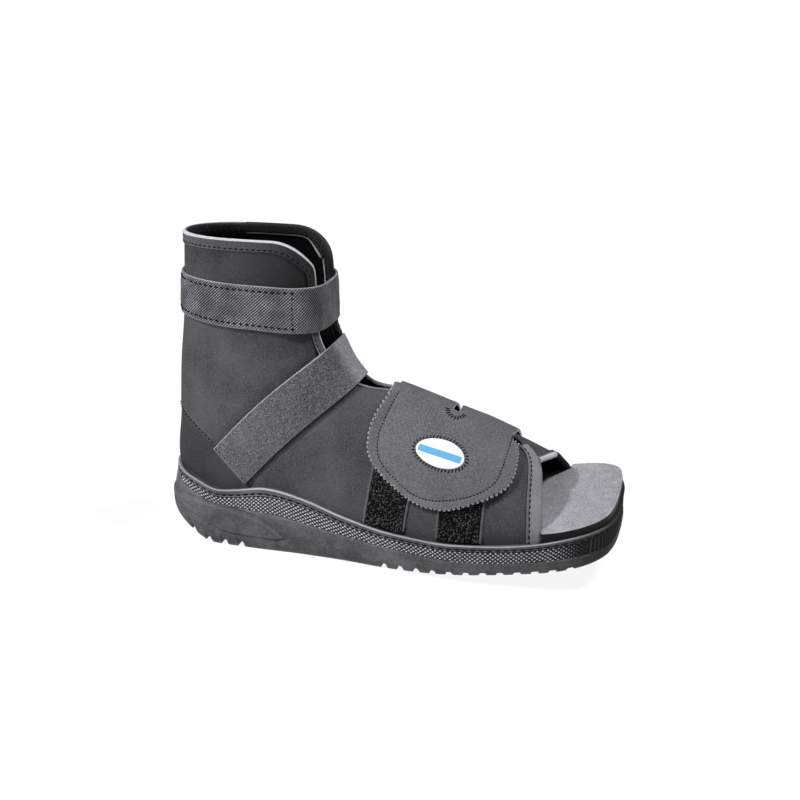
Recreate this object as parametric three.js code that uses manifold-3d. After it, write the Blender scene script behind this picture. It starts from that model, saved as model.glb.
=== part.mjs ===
// Open-toe cast boot: a rubber cup sole, an insole, a padded cloth upper, two straps and a forefoot flap.
// Millimetres, toe along +X, near side along -Y, sole down, origin under the middle of the sole.
import * as THREE from 'three';
import { mergeVertices } from 'three/addons/utils/BufferGeometryUtils.js';
import loadManifold from 'manifold-3d';

const manifold = await loadManifold();
manifold.setup();

// Sole
const HEEL_END = -146;
const TOE_END = 146;
const ARCH_FLAT = [-112, -5];
const HEEL_BEVEL_SLOPE = 0.44;
const TOE_SPRING_RADIUS = 440;
const TOE_SPRING_SLOPE = 0.16;
const GROOVE_DEPTH = 2.6;
const GROOVE_HALF_MOUTH = 2.4;
const GROOVE_HALF_ROOT = 1.5;
const HEEL_GROOVES = { first: -123, pitch: 11.6, count: 4 };
const FORE_GROOVES = { first: 7.4, pitch: 10.5, count: 12 };
const SOLE_STATIONS = 28;

// Cloth layers
const WALL = 3;
const GAP = 0.3;
const STRAP_THICKNESS = 1.6;
const LOOP_THICKNESS = 1.6;
const FLAP_THICKNESS = 2.2;
const BADGE_THICKNESS = 0.9;
const BINDING_THICKNESS = 1;

// Upper
const COLLAR_HEIGHT = 195.6;
const COLLAR_CORNER = { centre_x: -66, radius: 27 };
const TOE_EDGE = 103;
const TOE_CORNER = { centre_x: 84, centre_y: -30, along: 19, across: 30 };
const COLLAR_BINDING_WIDTH = 5.5;
const TOE_BINDING_WIDTH = 7;
const COLLAR_BINDING_SPAN = { low_z: 128, front_x: -24 };
const TOE_BINDING_START = 86;
const INSOLE_MARGIN = 3.3;

// Straps, strips, flap and badge
const ANKLE_STRAP = { back: [146.5, 172.5], front: [141.5, 170.5], start_turn: -8, end_turn: 24 };
const INSTEP_STRAP = { x: -20.5, z: 127, rise_deg: 43, width: 33, near_reach: 130, far_reach: 62 };
const LOOP_STRIPS = {
  rear: { x: 7.5, half_width: 13, lean: 0.12 },
  front: { x: 55, half_width: 13.5, lean: 0.03 },
};
const LOOP_TOP = 74;
const FLAP_TOOTH = { pitch: 3, depth: 1.6 };
const FLAP_FAR_HEM = 52;
const FLAP_SLOT = { x: 42.5, half_length: 2.9, near_y: -5, far_y: 27 };
const BADGE = { x: 40.2, z: 74.7, half_length: 15.8, half_height: 7.2, tilt_deg: -4 };

// The foot form that every cloth layer follows: sections from above the collar, round the heel, out past the toe.
// back_x, back_z, front_x, front_z, half_width, widest, back_power, front_power
const FORM_SECTIONS = [
  [-130, 206, -38.5, 206, 21.5, 0.5, 2.2, 3], // above the collar
  [-129.5, 174, -39, 174, 32, 0.5, 2.2, 3.2], // top of the ankle strap
  [-131.5, 142, -38.5, 142, 35, 0.5, 2.2, 3.2], // foot of the ankle strap
  [-134.5, 114, -32.5, 127, 36.5, 0.5, 2.2, 2.8], // bend of the ankle
  [-138, 78, -23.5, 113.5, 36.5, 0.5, 2.2, 2.4], // above the heel
  [-140, 44, -11, 104.5, 35.5, 0.46, 2.4, 2.1], // round of the heel
  [-130, 8, 6, 102, 36, 0.42, 2.6, 2.0], // under the heel
  [-84, 2, 27, 95.8, 37, 0.36, 2.8, 1.9], // waist
  [-30, 0, 47, 88.7, 41.5, 0.34, 3, 1.9], // instep
  [22, 0, 66.5, 81.8, 46.2, 0.34, 3, 1.9], // ball of the foot
  [64, 0, 85, 73, 48.4, 0.38, 3, 2.0], // behind the toes
  [98, 4, 102, 63.5, 48.4, 0.44, 3, 2.1], // toe opening
  [116, 6, 116, 57.5, 48.4, 0.5, 3, 2.2], // past the toe opening
];
const FORM_STEPS = 2;
const FORM_TURNS = 28;

// Front opening between the two quarters, as a half width along the boot.
// x, half_gap
const FRONT_OPENING = [
  [-60, 18],
  [-34, 18],
  [-28, 16.5],
  [-14, 8],
  [4, 5],
  [25, 12],
  [46, 17],
  [68, 10],
  [85, 0.6],
];

// Sole seen from above and along its rim.
// x, near_half_width, far_half_width
const SOLE_PLAN = [
  [-146, 4, 4],
  [-144, 14, 14],
  [-138, 25, 25],
  [-127, 33.5, 33.5],
  [-110, 38.5, 38.5],
  [-80, 40.5, 40],
  [-50, 41, 40.5],
  [-20, 43, 42.5],
  [10, 47, 46.5],
  [40, 51, 50.5],
  [70, 53.3, 52.8],
  [98, 53.5, 53.5],
  [116, 51.5, 53.3],
  [128, 46.5, 52],
  [136, 40, 48.5],
  [142, 31, 43],
  [146, 18, 32],
];
// x, rim_height, floor_height, insole_thickness
const SOLE_HEIGHTS = [
  [-150, 47, 27, 9],
  [-138, 46, 27, 9],
  [-120, 43, 27, 9],
  [-104, 38.5, 27, 9],
  [-90, 40, 26.5, 9],
  [-70, 43.5, 26, 9],
  [-46, 39.5, 25, 9],
  [-20, 31.5, 23.4, 9],
  [5, 26.5, 22, 9.5],
  [26, 25, 21.6, 10],
  [46, 24.6, 21.6, 10],
  [65, 26.2, 23.4, 10],
  [83, 28.4, 25.8, 10],
  [99, 31.2, 28.6, 10],
  [121, 36.1, 33.4, 9],
  [134, 38.2, 36, 8.4],
  [150, 40.4, 38.4, 8],
];
// Sole wall from the tread up: share of the height to the rim, inset from the widest outline.
// share, inset, heel_inset
const SOLE_WALL = [
  [0, 4.5, 4.5],
  [0.07, 2.2, 2.2],
  [0.3, 0.2, 0.2],
  [0.46, 0.4, 1.2],
  [0.48, 0.9, 1.8],
  [0.76, 1.3, 3],
  [0.78, 0.7, 2.4],
  [0.9, 0.7, 2.7],
  [1, 1.5, 3.6],
];

// Flap edge on the near side, from the instep round to the toe.
// x, z
const FLAP_EDGE = [
  [6, 112],
  [0, 99],
  [-5, 88],
  [-6.5, 77],
  [-3, 66.5],
  [5, 59],
  [18, 50],
  [30, 45.4],
  [41, 44],
  [54, 47],
  [70, 55],
  [82, 62],
  [86, 69],
  [84, 84],
];

// Heel seam from the back round to the rim.
// x, z
const HEEL_SEAM = [
  [-160, 90],
  [-136, 84],
  [-118, 77.5],
  [-105, 69],
  [-94, 55],
  [-86, 41],
  [-80, 28],
  [-76, 10],
];

const WELD_DISTANCE = 0.02;
const OUTER_REACH = 120;
const FAR_BELOW = -20;
const FAR_ABOVE = 260;

function table(rows) {
  const positions = rows.map((row) => row[0]);
  const values = Float64Array.from(rows.flatMap((row) => row.slice(1)));
  const curve = new THREE.CubicInterpolant(positions, values, rows[0].length - 1);
  return (at) => Array.from(curve.evaluate(at));
}

const formSection = table(FORM_SECTIONS.map((row, index) => [index, ...row]));
const solePlan = table(SOLE_PLAN);
const soleHeights = table(SOLE_HEIGHTS);
const frontOpening = table(FRONT_OPENING);

// One point of the form. A turn of 0 is the back or underside, pi the front or ridge, near side between.
function formPoint(along, turn) {
  const [backX, backZ, frontX, frontZ, halfWidth, widest, backPower, frontPower] = formSection(along);
  const lean = Math.cos(turn);
  const side = Math.sin(turn);
  const root = 2 / (lean > 0 ? backPower : frontPower);
  const reach = Math.abs(lean) ** root;
  const share = lean > 0 ? widest * (1 - reach) : widest + (1 - widest) * reach;
  const across = -Math.sign(side) * halfWidth * Math.abs(side) ** root;
  return new THREE.Vector3(backX + share * (frontX - backX), across, backZ + share * (frontZ - backZ));
}

function formNormal(along, turn) {
  const step = 0.02;
  const alongStep = formPoint(along + step, turn).sub(formPoint(along - step, turn));
  const turnStep = formPoint(along, turn + step).sub(formPoint(along, turn - step));
  return alongStep.cross(turnStep).normalize();
}

function offsetPoint(along, turn, offset) {
  return formPoint(along, turn).addScaledVector(formNormal(along, turn), offset);
}

function solid(geometry) {
  const bare = geometry.clone();
  bare.deleteAttribute('normal');
  bare.deleteAttribute('uv');
  const merged = mergeVertices(bare, 1e-4);
  const mesh = new manifold.Mesh({
    numProp: 3,
    vertProperties: Float32Array.from(merged.attributes.position.array),
    triVerts: Uint32Array.from(merged.index.array),
  });
  return new manifold.Manifold(mesh);
}

// The surface of a body, with corners that lie closer than the weld distance made one.
function geometryOf(body) {
  const mesh = body.getMesh();
  const corners = [];
  const place = [];
  for (let start = 0; start < mesh.vertProperties.length; start += 3) {
    const point = new THREE.Vector3().fromArray(mesh.vertProperties, start);
    const found = corners.findIndex((corner) => corner.distanceTo(point) < WELD_DISTANCE);
    place.push(found < 0 ? corners.push(point) - 1 : found);
  }
  const faces = [];
  for (let start = 0; start < mesh.triVerts.length; start += 3) {
    const [first, second, third] = Array.from(mesh.triVerts.slice(start, start + 3), (corner) => place[corner]);
    if (first !== second && second !== third && third !== first) faces.push(first, second, third);
  }
  const geometry = new THREE.BufferGeometry().setFromPoints(corners);
  geometry.setIndex(faces);
  return geometry;
}

// Rings of points joined into one closed body, each ring turning the same way, with a fan at both ends.
function ringBody(rings) {
  const count = rings[0].length;
  const points = rings.flat();
  const faces = [];
  for (let row = 0; row + 1 < rings.length; row += 1) {
    for (let column = 0; column < count; column += 1) {
      const next = (column + 1) % count;
      const here = row * count;
      const below = here + count;
      faces.push(here + column, below + column, below + next);
      faces.push(here + column, below + next, here + next);
    }
  }
  const last = (rings.length - 1) * count;
  const middle = (ring) => ring.reduce((sum, point) => sum.add(point), new THREE.Vector3()).divideScalar(count);
  points.push(middle(rings[0]), middle(rings[rings.length - 1]));
  const firstCap = points.length - 2;
  for (let column = 0; column < count; column += 1) {
    const next = (column + 1) % count;
    faces.push(firstCap, column, next);
    faces.push(firstCap + 1, last + next, last + column);
  }
  const geometry = new THREE.BufferGeometry().setFromPoints(points);
  geometry.setIndex(faces);
  return solid(geometry);
}

// The form grown by an offset, which may change with the turn.
function formBody(offset) {
  const offsetAt = typeof offset === 'function' ? offset : () => offset;
  const rows = (FORM_SECTIONS.length - 1) * FORM_STEPS;
  const rings = [];
  for (let row = 0; row <= rows; row += 1) {
    const ring = [];
    for (let column = 0; column < FORM_TURNS; column += 1) {
      const turn = (column / FORM_TURNS) * 2 * Math.PI;
      ring.push(offsetPoint(row / FORM_STEPS, turn, offsetAt(turn)));
    }
    rings.push(ring);
  }
  return ringBody(rings);
}

function layer(inner, outer) {
  return formBody(outer).subtract(formBody(inner));
}

function outline(points) {
  return new THREE.Shape(points.map(([across, up]) => new THREE.Vector2(across, up)));
}

// A body with this outline seen from the side, reaching from one y to another.
function sideBody(points, fromY = -OUTER_REACH, toY = OUTER_REACH) {
  const shape = Array.isArray(points) ? outline(points) : points;
  const geometry = new THREE.ExtrudeGeometry(shape, { depth: toY - fromY, bevelEnabled: false, curveSegments: 6 });
  geometry.rotateX(Math.PI / 2);
  geometry.translate(0, toY, 0);
  return solid(geometry);
}

// A body with this outline seen from above, through all heights.
function planBody(points) {
  const shape = outline(points);
  const geometry = new THREE.ExtrudeGeometry(shape, { depth: FAR_ABOVE - FAR_BELOW, bevelEnabled: false });
  geometry.translate(0, 0, FAR_BELOW);
  return solid(geometry);
}

function stations(from, to, count) {
  return Array.from({ length: count + 1 }, (_, index) => from + ((to - from) * index) / count);
}

function smoothLine(rows, count) {
  const curve = new THREE.SplineCurve(rows.map(([x, z]) => new THREE.Vector2(x, z)));
  return curve.getPoints(count).map((point) => [point.x, point.y]);
}

const rimHeight = (x) => soleHeights(x)[0];
const floorHeight = (x) => soleHeights(x)[1];
const insoleHeight = (x) => soleHeights(x)[1] + soleHeights(x)[2];

function above(height, lift, from = -170, to = 170) {
  const line = stations(from, to, 36).map((x) => [x, height(x) + lift]);
  return sideBody([...line, [to, FAR_ABOVE], [from, FAR_ABOVE]]);
}

function treadHeight(x) {
  if (x < ARCH_FLAT[0]) return (ARCH_FLAT[0] - x) * HEEL_BEVEL_SLOPE;
  const run = x - ARCH_FLAT[1];
  if (run <= 0) return 0;
  const bend = TOE_SPRING_RADIUS * TOE_SPRING_SLOPE;
  const bent = Math.min(run, bend) ** 2 / (2 * TOE_SPRING_RADIUS);
  return bent + Math.max(run - bend, 0) * TOE_SPRING_SLOPE;
}

// The sole outline inset by a distance, near side from heel to toe, then far side back to the heel.
function soleOutline(insetAt) {
  const side = [];
  for (let index = 0; index <= SOLE_STATIONS; index += 1) {
    const spread = (1 - Math.cos((index / SOLE_STATIONS) * Math.PI)) / 2;
    side.push(HEEL_END + (TOE_END - HEEL_END) * spread);
  }
  const near = side.map((x) => new THREE.Vector2(x, -solePlan(x)[0]));
  const far = side.map((x) => new THREE.Vector2(x, solePlan(x)[1])).reverse();
  const ring = [...near, ...far];
  return ring.map((point, index) => {
    const before = ring[(index + ring.length - 1) % ring.length];
    const after = ring[(index + 1) % ring.length];
    const run = after.clone().sub(before).normalize();
    const inset = insetAt(point.x);
    return new THREE.Vector2(point.x - run.y * inset, point.y + run.x * inset);
  });
}

function soleOuter() {
  const heelShare = (x) => THREE.MathUtils.smoothstep(-x, 60, 130);
  const rings = SOLE_WALL.map(([share, inset, heelInset]) => {
    const insetAt = (x) => inset + (heelInset - inset) * heelShare(x);
    const ring = soleOutline(insetAt);
    return ring.map((point) => {
      const foot = treadHeight(point.x);
      return new THREE.Vector3(point.x, point.y, foot + share * (rimHeight(point.x) - foot));
    });
  });
  return pairedBody(rings);
}

// Rings joined into one body, closed at both ends by strips between the near and the far side.
function pairedBody(rings) {
  const count = rings[0].length;
  const points = rings.flat();
  const faces = [];
  for (let row = 0; row + 1 < rings.length; row += 1) {
    for (let column = 0; column < count; column += 1) {
      const next = (column + 1) % count;
      const here = row * count;
      const over = here + count;
      faces.push(here + column, here + next, over + next);
      faces.push(here + column, over + next, over + column);
    }
  }
  const top = (rings.length - 1) * count;
  for (let column = 0; column + 1 < count / 2; column += 1) {
    const far = count - 1 - column;
    faces.push(column, far, far - 1, column, far - 1, column + 1);
    faces.push(top + column, top + far - 1, top + far, top + column, top + column + 1, top + far - 1);
  }
  const geometry = new THREE.BufferGeometry().setFromPoints(points);
  geometry.setIndex(faces);
  return solid(geometry);
}

function grooveBody(x) {
  const slope = (treadHeight(x + 1) - treadHeight(x - 1)) / 2;
  const foot = treadHeight(x);
  const at = (along, up) => [x + along - up * slope, foot + up + along * slope];
  return sideBody([
    at(-GROOVE_HALF_MOUTH, -3),
    at(GROOVE_HALF_MOUTH, -3),
    at(GROOVE_HALF_MOUTH, 0),
    at(GROOVE_HALF_ROOT, GROOVE_DEPTH),
    at(-GROOVE_HALF_ROOT, GROOVE_DEPTH),
    at(-GROOVE_HALF_MOUTH, 0),
  ]);
}

// Outline of the insole's bare front end, inset from the sole outline.
function toePadOutline(inset) {
  const ring = soleOutline(() => inset);
  const kept = ring.filter((point) => point.x > TOE_EDGE + 2).map((point) => [point.x, point.y]);
  const first = kept[0];
  const last = kept[kept.length - 1];
  return [[TOE_EDGE + 1.6, first[1]], ...kept, [TOE_EDGE + 1.6, last[1]]];
}

function soleUnit() {
  const cup = formBody(GAP).intersect(sideBody([[-170, FAR_BELOW], [TOE_EDGE + 2, FAR_BELOW],
    [TOE_EDGE + 2, FAR_ABOVE], [-170, FAR_ABOVE]]));
  const pocket = cup.add(planBody(toePadOutline(INSOLE_MARGIN - GAP))).intersect(above(floorHeight, 0));
  let body = soleOuter().subtract(pocket);
  for (const grooves of [HEEL_GROOVES, FORE_GROOVES]) {
    for (let index = 0; index < grooves.count; index += 1) {
      body = body.subtract(grooveBody(grooves.first + index * grooves.pitch));
    }
  }
  return body;
}

function insoleBody() {
  const bed = formBody(-WALL - GAP).intersect(sideBody([[-170, FAR_BELOW], [TOE_EDGE + 3, FAR_BELOW],
    [TOE_EDGE + 3, FAR_ABOVE], [-170, FAR_ABOVE]]));
  const whole = bed.add(planBody(toePadOutline(INSOLE_MARGIN)));
  return whole.intersect(above(floorHeight, GAP)).subtract(above(insoleHeight, 0));
}

// The quarters as seen from the side: collar, rounded collar corner and toe edge, each moved out by grow.
function quarterSide(grow) {
  const shape = new THREE.Shape();
  const radius = COLLAR_CORNER.radius + grow;
  shape.moveTo(-170, FAR_BELOW);
  shape.lineTo(TOE_EDGE + grow, FAR_BELOW);
  shape.lineTo(TOE_EDGE + grow, 140);
  shape.lineTo(COLLAR_CORNER.centre_x + radius, 140);
  const centreZ = COLLAR_HEIGHT - COLLAR_CORNER.radius;
  shape.lineTo(COLLAR_CORNER.centre_x + radius, centreZ);
  shape.absarc(COLLAR_CORNER.centre_x, centreZ, radius, 0, Math.PI / 2, false);
  shape.lineTo(-170, COLLAR_HEIGHT + grow);
  return sideBody(shape);
}

function frontOpeningBody(grow) {
  const last = FRONT_OPENING[FRONT_OPENING.length - 1][0];
  const line = stations(FRONT_OPENING[0][0] + 2, last - grow, 16);
  const half = (x) => Math.max(frontOpening(x)[0] - grow, 0.05);
  const near = line.map((x) => [x, -half(x)]);
  const far = line.map((x) => [x, half(x)]).reverse();
  return planBody([...near, ...far]);
}

// The part of the toe's top that the far quarter covers, outside the near quarter's rounded corner.
function toeCornerBody(grow) {
  const { centre_x: x, centre_y: y, along, across } = TOE_CORNER;
  const arc = stations(0, Math.PI / 2, 10).map((angle) => [
    x + (along + grow) * Math.cos(angle),
    y + (across + grow) * Math.sin(angle),
  ]);
  return planBody([...arc, [x, OUTER_REACH], [x + 60, OUTER_REACH], [x + 60, y]]);
}

function halfBody(side, gap) {
  const from = side === 'near' ? -OUTER_REACH : gap;
  const to = side === 'near' ? -gap : OUTER_REACH;
  return sideBody([[-170, FAR_BELOW], [170, FAR_BELOW], [170, FAR_ABOVE], [-170, FAR_ABOVE]], from, to);
}

function openEdges(grow) {
  return quarterSide(grow).subtract(frontOpeningBody(grow));
}

function heelSeamBody(grow) {
  const line = smoothLine(HEEL_SEAM, 20).map(([x, z]) => [x + grow, z + grow]);
  return sideBody([...line, [line[line.length - 1][0], FAR_BELOW], [-170, FAR_BELOW], [-170, line[0][1]]]);
}

const wall = layer(-WALL, 0);
const bedFloor = above(floorHeight, GAP);
const overRim = above(rimHeight, GAP);
const toeFree = BINDING_THICKNESS + 2 * GAP;

function quarterNear() {
  return wall.intersect(openEdges(0)).intersect(halfBody('near', GAP / 2)).subtract(toeCornerBody(0))
    .subtract(heelSeamBody(GAP)).intersect(bedFloor);
}

function quarterFar() {
  const side = halfBody('far', GAP / 2).add(toeCornerBody(toeFree));
  return wall.intersect(openEdges(0)).intersect(side).subtract(heelSeamBody(GAP)).intersect(bedFloor);
}

function heelCounter() {
  return wall.intersect(heelSeamBody(0)).intersect(bedFloor);
}

const bindingSkin = layer(-WALL - GAP - BINDING_THICKNESS, GAP + BINDING_THICKNESS);
const bindingCore = layer(-WALL - GAP, GAP);

function collarBinding() {
  const reach = GAP + BINDING_THICKNESS;
  const { low_z: low, front_x: front } = COLLAR_BINDING_SPAN;
  const span = sideBody([[-170, low], [front, low], [front, FAR_ABOVE], [-170, FAR_ABOVE]]);
  const strapWay = instepBand(INSTEP_STRAP.near_reach, -OUTER_REACH, OUTER_REACH, INSTEP_STRAP.width + 2 * GAP);
  return bindingSkin.intersect(openEdges(reach)).subtract(openEdges(-COLLAR_BINDING_WIDTH))
    .subtract(bindingCore.intersect(openEdges(GAP))).intersect(span).subtract(strapWay);
}

const toeSkin = layer(-WALL, GAP + BINDING_THICKNESS);
const toeCore = layer(-WALL - 1, GAP);
const toeSpan = sideBody([[TOE_BINDING_START, FAR_BELOW], [170, FAR_BELOW], [170, FAR_ABOVE],
  [TOE_BINDING_START, FAR_ABOVE]]);

function toeBindingNear() {
  const reach = GAP + BINDING_THICKNESS;
  const edge = (grow) => openEdges(grow).intersect(halfBody('near', GAP)).subtract(toeCornerBody(grow));
  return toeSkin.intersect(edge(reach)).subtract(edge(-TOE_BINDING_WIDTH))
    .subtract(toeCore.intersect(edge(GAP))).intersect(toeSpan).intersect(overRim);
}

function toeBindingFar() {
  const reach = GAP + BINDING_THICKNESS;
  const side = halfBody('far', -2).add(toeCornerBody(toeFree + GAP)).subtract(
    planBody([[0, -OUTER_REACH], [170, -OUTER_REACH], [170, TOE_CORNER.centre_y], [0, TOE_CORNER.centre_y]]));
  const covered = halfBody('near', -2).subtract(toeCornerBody(toeFree + GAP));
  const edge = (grow) => openEdges(grow).intersect(side).subtract(covered);
  return toeSkin.intersect(edge(reach)).subtract(quarterSide(-TOE_BINDING_WIDTH))
    .subtract(toeCore.intersect(quarterSide(GAP))).intersect(overRim).intersect(toeSpan);
}

function shaftAlong(height, turn) {
  let low = 0;
  let high = 2.2;
  for (let step = 0; step < 30; step += 1) {
    const middle = (low + high) / 2;
    if (formPoint(middle, turn).z > height) low = middle;
    else high = middle;
  }
  return low;
}

// Strap from the far side round the back, the near side and the front, its end lying over its start.
function ankleStrap() {
  const { back, front, start_turn: start, end_turn: end } = ANKLE_STRAP;
  const half = FORM_TURNS / 2;
  const overBinding = GAP + BINDING_THICKNESS;
  const overStart = STRAP_THICKNESS - BINDING_THICKNESS;
  const rings = [];
  for (let index = start; index <= end; index += 1) {
    const turn = (index / FORM_TURNS) * 2 * Math.PI;
    const frontShare = (1 - Math.cos(turn)) / 2;
    const low = THREE.MathUtils.lerp(back[0], front[0], frontShare);
    const high = THREE.MathUtils.lerp(back[1], front[1], frontShare);
    const lift = overBinding * THREE.MathUtils.smoothstep(index, half - 7, half - 4)
      + overStart * THREE.MathUtils.smoothstep(index, half + 3, FORM_TURNS + start - 1);
    const corner = (height, offset) => offsetPoint(shaftAlong(height, turn), turn, GAP + lift + offset);
    const heights = stations(high, low, 3);
    const inside = heights.map((height) => corner(height, 0));
    const outside = heights.map((height) => corner(height, STRAP_THICKNESS)).reverse();
    rings.push([...inside, ...outside]);
  }
  return ringBody(rings);
}

function instepBand(reachBack, fromY, toY, width = INSTEP_STRAP.width) {
  const { x, z, rise_deg: rise } = INSTEP_STRAP;
  const angle = THREE.MathUtils.degToRad(rise);
  const at = (along, up) => [
    x + along * Math.cos(angle) - up * Math.sin(angle),
    z + along * Math.sin(angle) + up * Math.cos(angle),
  ];
  return sideBody([at(-reachBack, -width / 2), at(60, -width / 2), at(60, width / 2), at(-reachBack, width / 2)],
    fromY, toY);
}

function instepStrap() {
  const band = instepBand(INSTEP_STRAP.near_reach, -OUTER_REACH, 0.5)
    .add(instepBand(INSTEP_STRAP.far_reach, -0.5, OUTER_REACH));
  const nearEnd = heelSeamBody(GAP);
  return layer(GAP, GAP + STRAP_THICKNESS).intersect(band).subtract(nearEnd);
}

function loopStrip({ x, half_width: half, lean }) {
  const foot = rimHeight(x);
  const at = (across, z) => [x + across + (z - foot) * lean, z];
  const strip = sideBody([at(-half, FAR_BELOW), at(half, FAR_BELOW), at(half, LOOP_TOP), at(-half, LOOP_TOP)],
    -OUTER_REACH, 0);
  return layer(GAP, GAP + LOOP_THICKNESS).intersect(strip).intersect(overRim);
}

// The pinked edge: a smooth line with a tooth every pitch.
function pinkedLine(rows) {
  const curve = new THREE.SplineCurve(rows.map(([x, z]) => new THREE.Vector2(x, z)));
  const teeth = Math.round(curve.getLength() / FLAP_TOOTH.pitch);
  const points = [];
  for (let index = 0; index <= teeth * 2; index += 1) {
    const share = index / (teeth * 2);
    const point = curve.getPointAt(share);
    const run = curve.getTangentAt(share);
    const depth = index % 2 ? 0 : FLAP_TOOTH.depth;
    points.push([point.x - run.y * depth, point.y + run.x * depth]);
  }
  return points;
}

function flapOffset(rise) {
  const nearRise = GAP + LOOP_THICKNESS + GAP;
  return (turn) => {
    const over = THREE.MathUtils.smoothstep(turn, Math.PI + 0.1, Math.PI + 1.0);
    return rise + nearRise + (GAP - nearRise) * over;
  };
}

function forefootFlap() {
  const edge = pinkedLine(FLAP_EDGE);
  const near = sideBody(edge, -OUTER_REACH, 0.5);
  const first = FLAP_EDGE[0][0];
  const last = FLAP_EDGE[FLAP_EDGE.length - 1][0];
  const far = sideBody([[first, FLAP_FAR_HEM], [last, FLAP_FAR_HEM], [last, 140], [first, 140]], -0.5, OUTER_REACH);
  const { x, half_length: half, near_y: nearY, far_y: farY } = FLAP_SLOT;
  const slot = planBody([[x - half, nearY], [x + half, nearY], [x + half, farY], [x - half, farY]]);
  return formBody(flapOffset(FLAP_THICKNESS)).subtract(formBody(flapOffset(0)))
    .intersect(near.add(far)).subtract(slot);
}

function ovalBadge() {
  const { x, z, half_length: long, half_height: tall, tilt_deg: tilt } = BADGE;
  const shape = new THREE.Shape().absellipse(x, z, long, tall, 0, 2 * Math.PI, false, THREE.MathUtils.degToRad(tilt));
  const oval = sideBody(outline(shape.getPoints(7).map((point) => [point.x, point.y])), -OUTER_REACH, 0);
  const rise = FLAP_THICKNESS + GAP;
  return formBody(flapOffset(rise + BADGE_THICKNESS)).subtract(formBody(flapOffset(rise))).intersect(oval);
}

// name, body, colour, roughness
const PIECES = [
  ['sole_unit', soleUnit(), 0x2b2826, 0.72],
  ['insole', insoleBody(), 0x4c4a49, 0.9],
  ['quarter_near', quarterNear(), 0x242122, 0.92],
  ['quarter_far', quarterFar(), 0x242122, 0.92],
  ['heel_counter', heelCounter(), 0x2b2625, 0.9],
  ['collar_binding', collarBinding(), 0x2e2b2b, 0.85],
  ['toe_binding_near', toeBindingNear(), 0x2b2829, 0.85],
  ['toe_binding_far', toeBindingFar(), 0x3a3737, 0.85],
  ['ankle_strap', ankleStrap(), 0x2c2a2b, 0.88],
  ['instep_strap', instepStrap(), 0x2f2d2e, 0.92],
  ['forefoot_flap', forefootFlap(), 0x292728, 0.94],
  ['loop_strip_rear', loopStrip(LOOP_STRIPS.rear), 0x1c1a1b, 0.96],
  ['loop_strip_front', loopStrip(LOOP_STRIPS.front), 0x1c1a1b, 0.96],
  ['oval_badge', ovalBadge(), 0xe8e8ea, 0.8],
];

const boot = new THREE.Group();
boot.name = 'cast_boot';
for (const [name, body, color, roughness] of PIECES) {
  const mesh = new THREE.Mesh(
    geometryOf(body),
    new THREE.MeshStandardMaterial({ color, roughness, metalness: 0 }),
  );
  mesh.name = name;
  boot.add(mesh);
}

export default boot;
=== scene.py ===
import math

import bmesh
import bpy
import numpy as np
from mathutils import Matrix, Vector


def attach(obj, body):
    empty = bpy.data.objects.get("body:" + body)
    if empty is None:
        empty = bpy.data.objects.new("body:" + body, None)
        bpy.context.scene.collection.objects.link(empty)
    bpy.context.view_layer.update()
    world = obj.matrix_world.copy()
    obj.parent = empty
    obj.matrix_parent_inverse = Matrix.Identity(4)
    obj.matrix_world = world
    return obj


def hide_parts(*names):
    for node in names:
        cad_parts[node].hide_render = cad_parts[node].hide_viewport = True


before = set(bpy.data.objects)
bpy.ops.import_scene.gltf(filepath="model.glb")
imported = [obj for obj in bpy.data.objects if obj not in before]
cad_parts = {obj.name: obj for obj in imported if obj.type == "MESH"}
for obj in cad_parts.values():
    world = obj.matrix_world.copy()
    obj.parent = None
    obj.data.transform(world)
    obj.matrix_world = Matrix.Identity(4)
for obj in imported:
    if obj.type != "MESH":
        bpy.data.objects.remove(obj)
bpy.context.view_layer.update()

# All sizes are in millimetres until a piece is made.
MM = 0.001
PI = math.pi

# Sole
ARCH_FLAT = (-112, -5)
HEEL_BEVEL_SLOPE = 0.44
TOE_SPRING_RADIUS = 440
TOE_SPRING_SLOPE = 0.16
GROOVE_DEPTH = 3.2
GROOVE_HALF_MOUTH = 2.4
GROOVE_HALF_ROOT = 1.5
HEEL_GROOVES = [-123 + 11.6 * index for index in range(4)]
FORE_GROOVES = [7.4 + 10.5 * index for index in range(12)]
SOLE_STATION_STEP = 0.6
HEEL_TIP = (-146.3, 0)
TOE_TIP = (146.5, 7)
HEEL_LEAN = 2.1
HEEL_TUCK = 3.0
BAND_INSET = 1.7
BAND_TOP_DROP = 5.3
KNURL_PITCH = 3.1
KNURL_ROW = 2.4
KNURL_HEIGHT = 1.0
# Painted shade on the rubber towards the toe tip: x from and to, and its colour
TOE_PAINTED_SHADE_SPAN = (112, 146)
TOE_PAINTED_SHADE = 0.008
RIB_START_TOE = 131
RIB_START_HEEL = -134
HEEL_PAD_RELIEF = 0.7
HEEL_PAD_LINE = 0.9
SOLE_STITCH_DROP = 3.9
SOLE_STITCH_INSET = 1.0
RIM_EDGE_LEVELS = 5
HEEL_LEAN_SPAN = (60, 130)
HEEL_TUCK_SPAN = (118, 145)
HEEL_LEAN_START = 0.3
BAND_SEAT = 0.1
KNURL_FOOT_TUCK = 0.6
# Fading of the knurl points' paler colour, partly painted highlight, towards the toe and at the heel
KNURL_TOE_DULL = 0.6
KNURL_TOE_DULL_START = 108
KNURL_HEEL_DULL = 0.5
LOWEST_WHOLE = 0.35
LOWER_LEVELS = 19
BAND_FOOT_STEP = 0.25
BAND_HEAD_STEP = 0.2
HEEL_PAD_EDGE = 0.8
HEEL_PAD_LINE_OFFSET = 0.6

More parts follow.
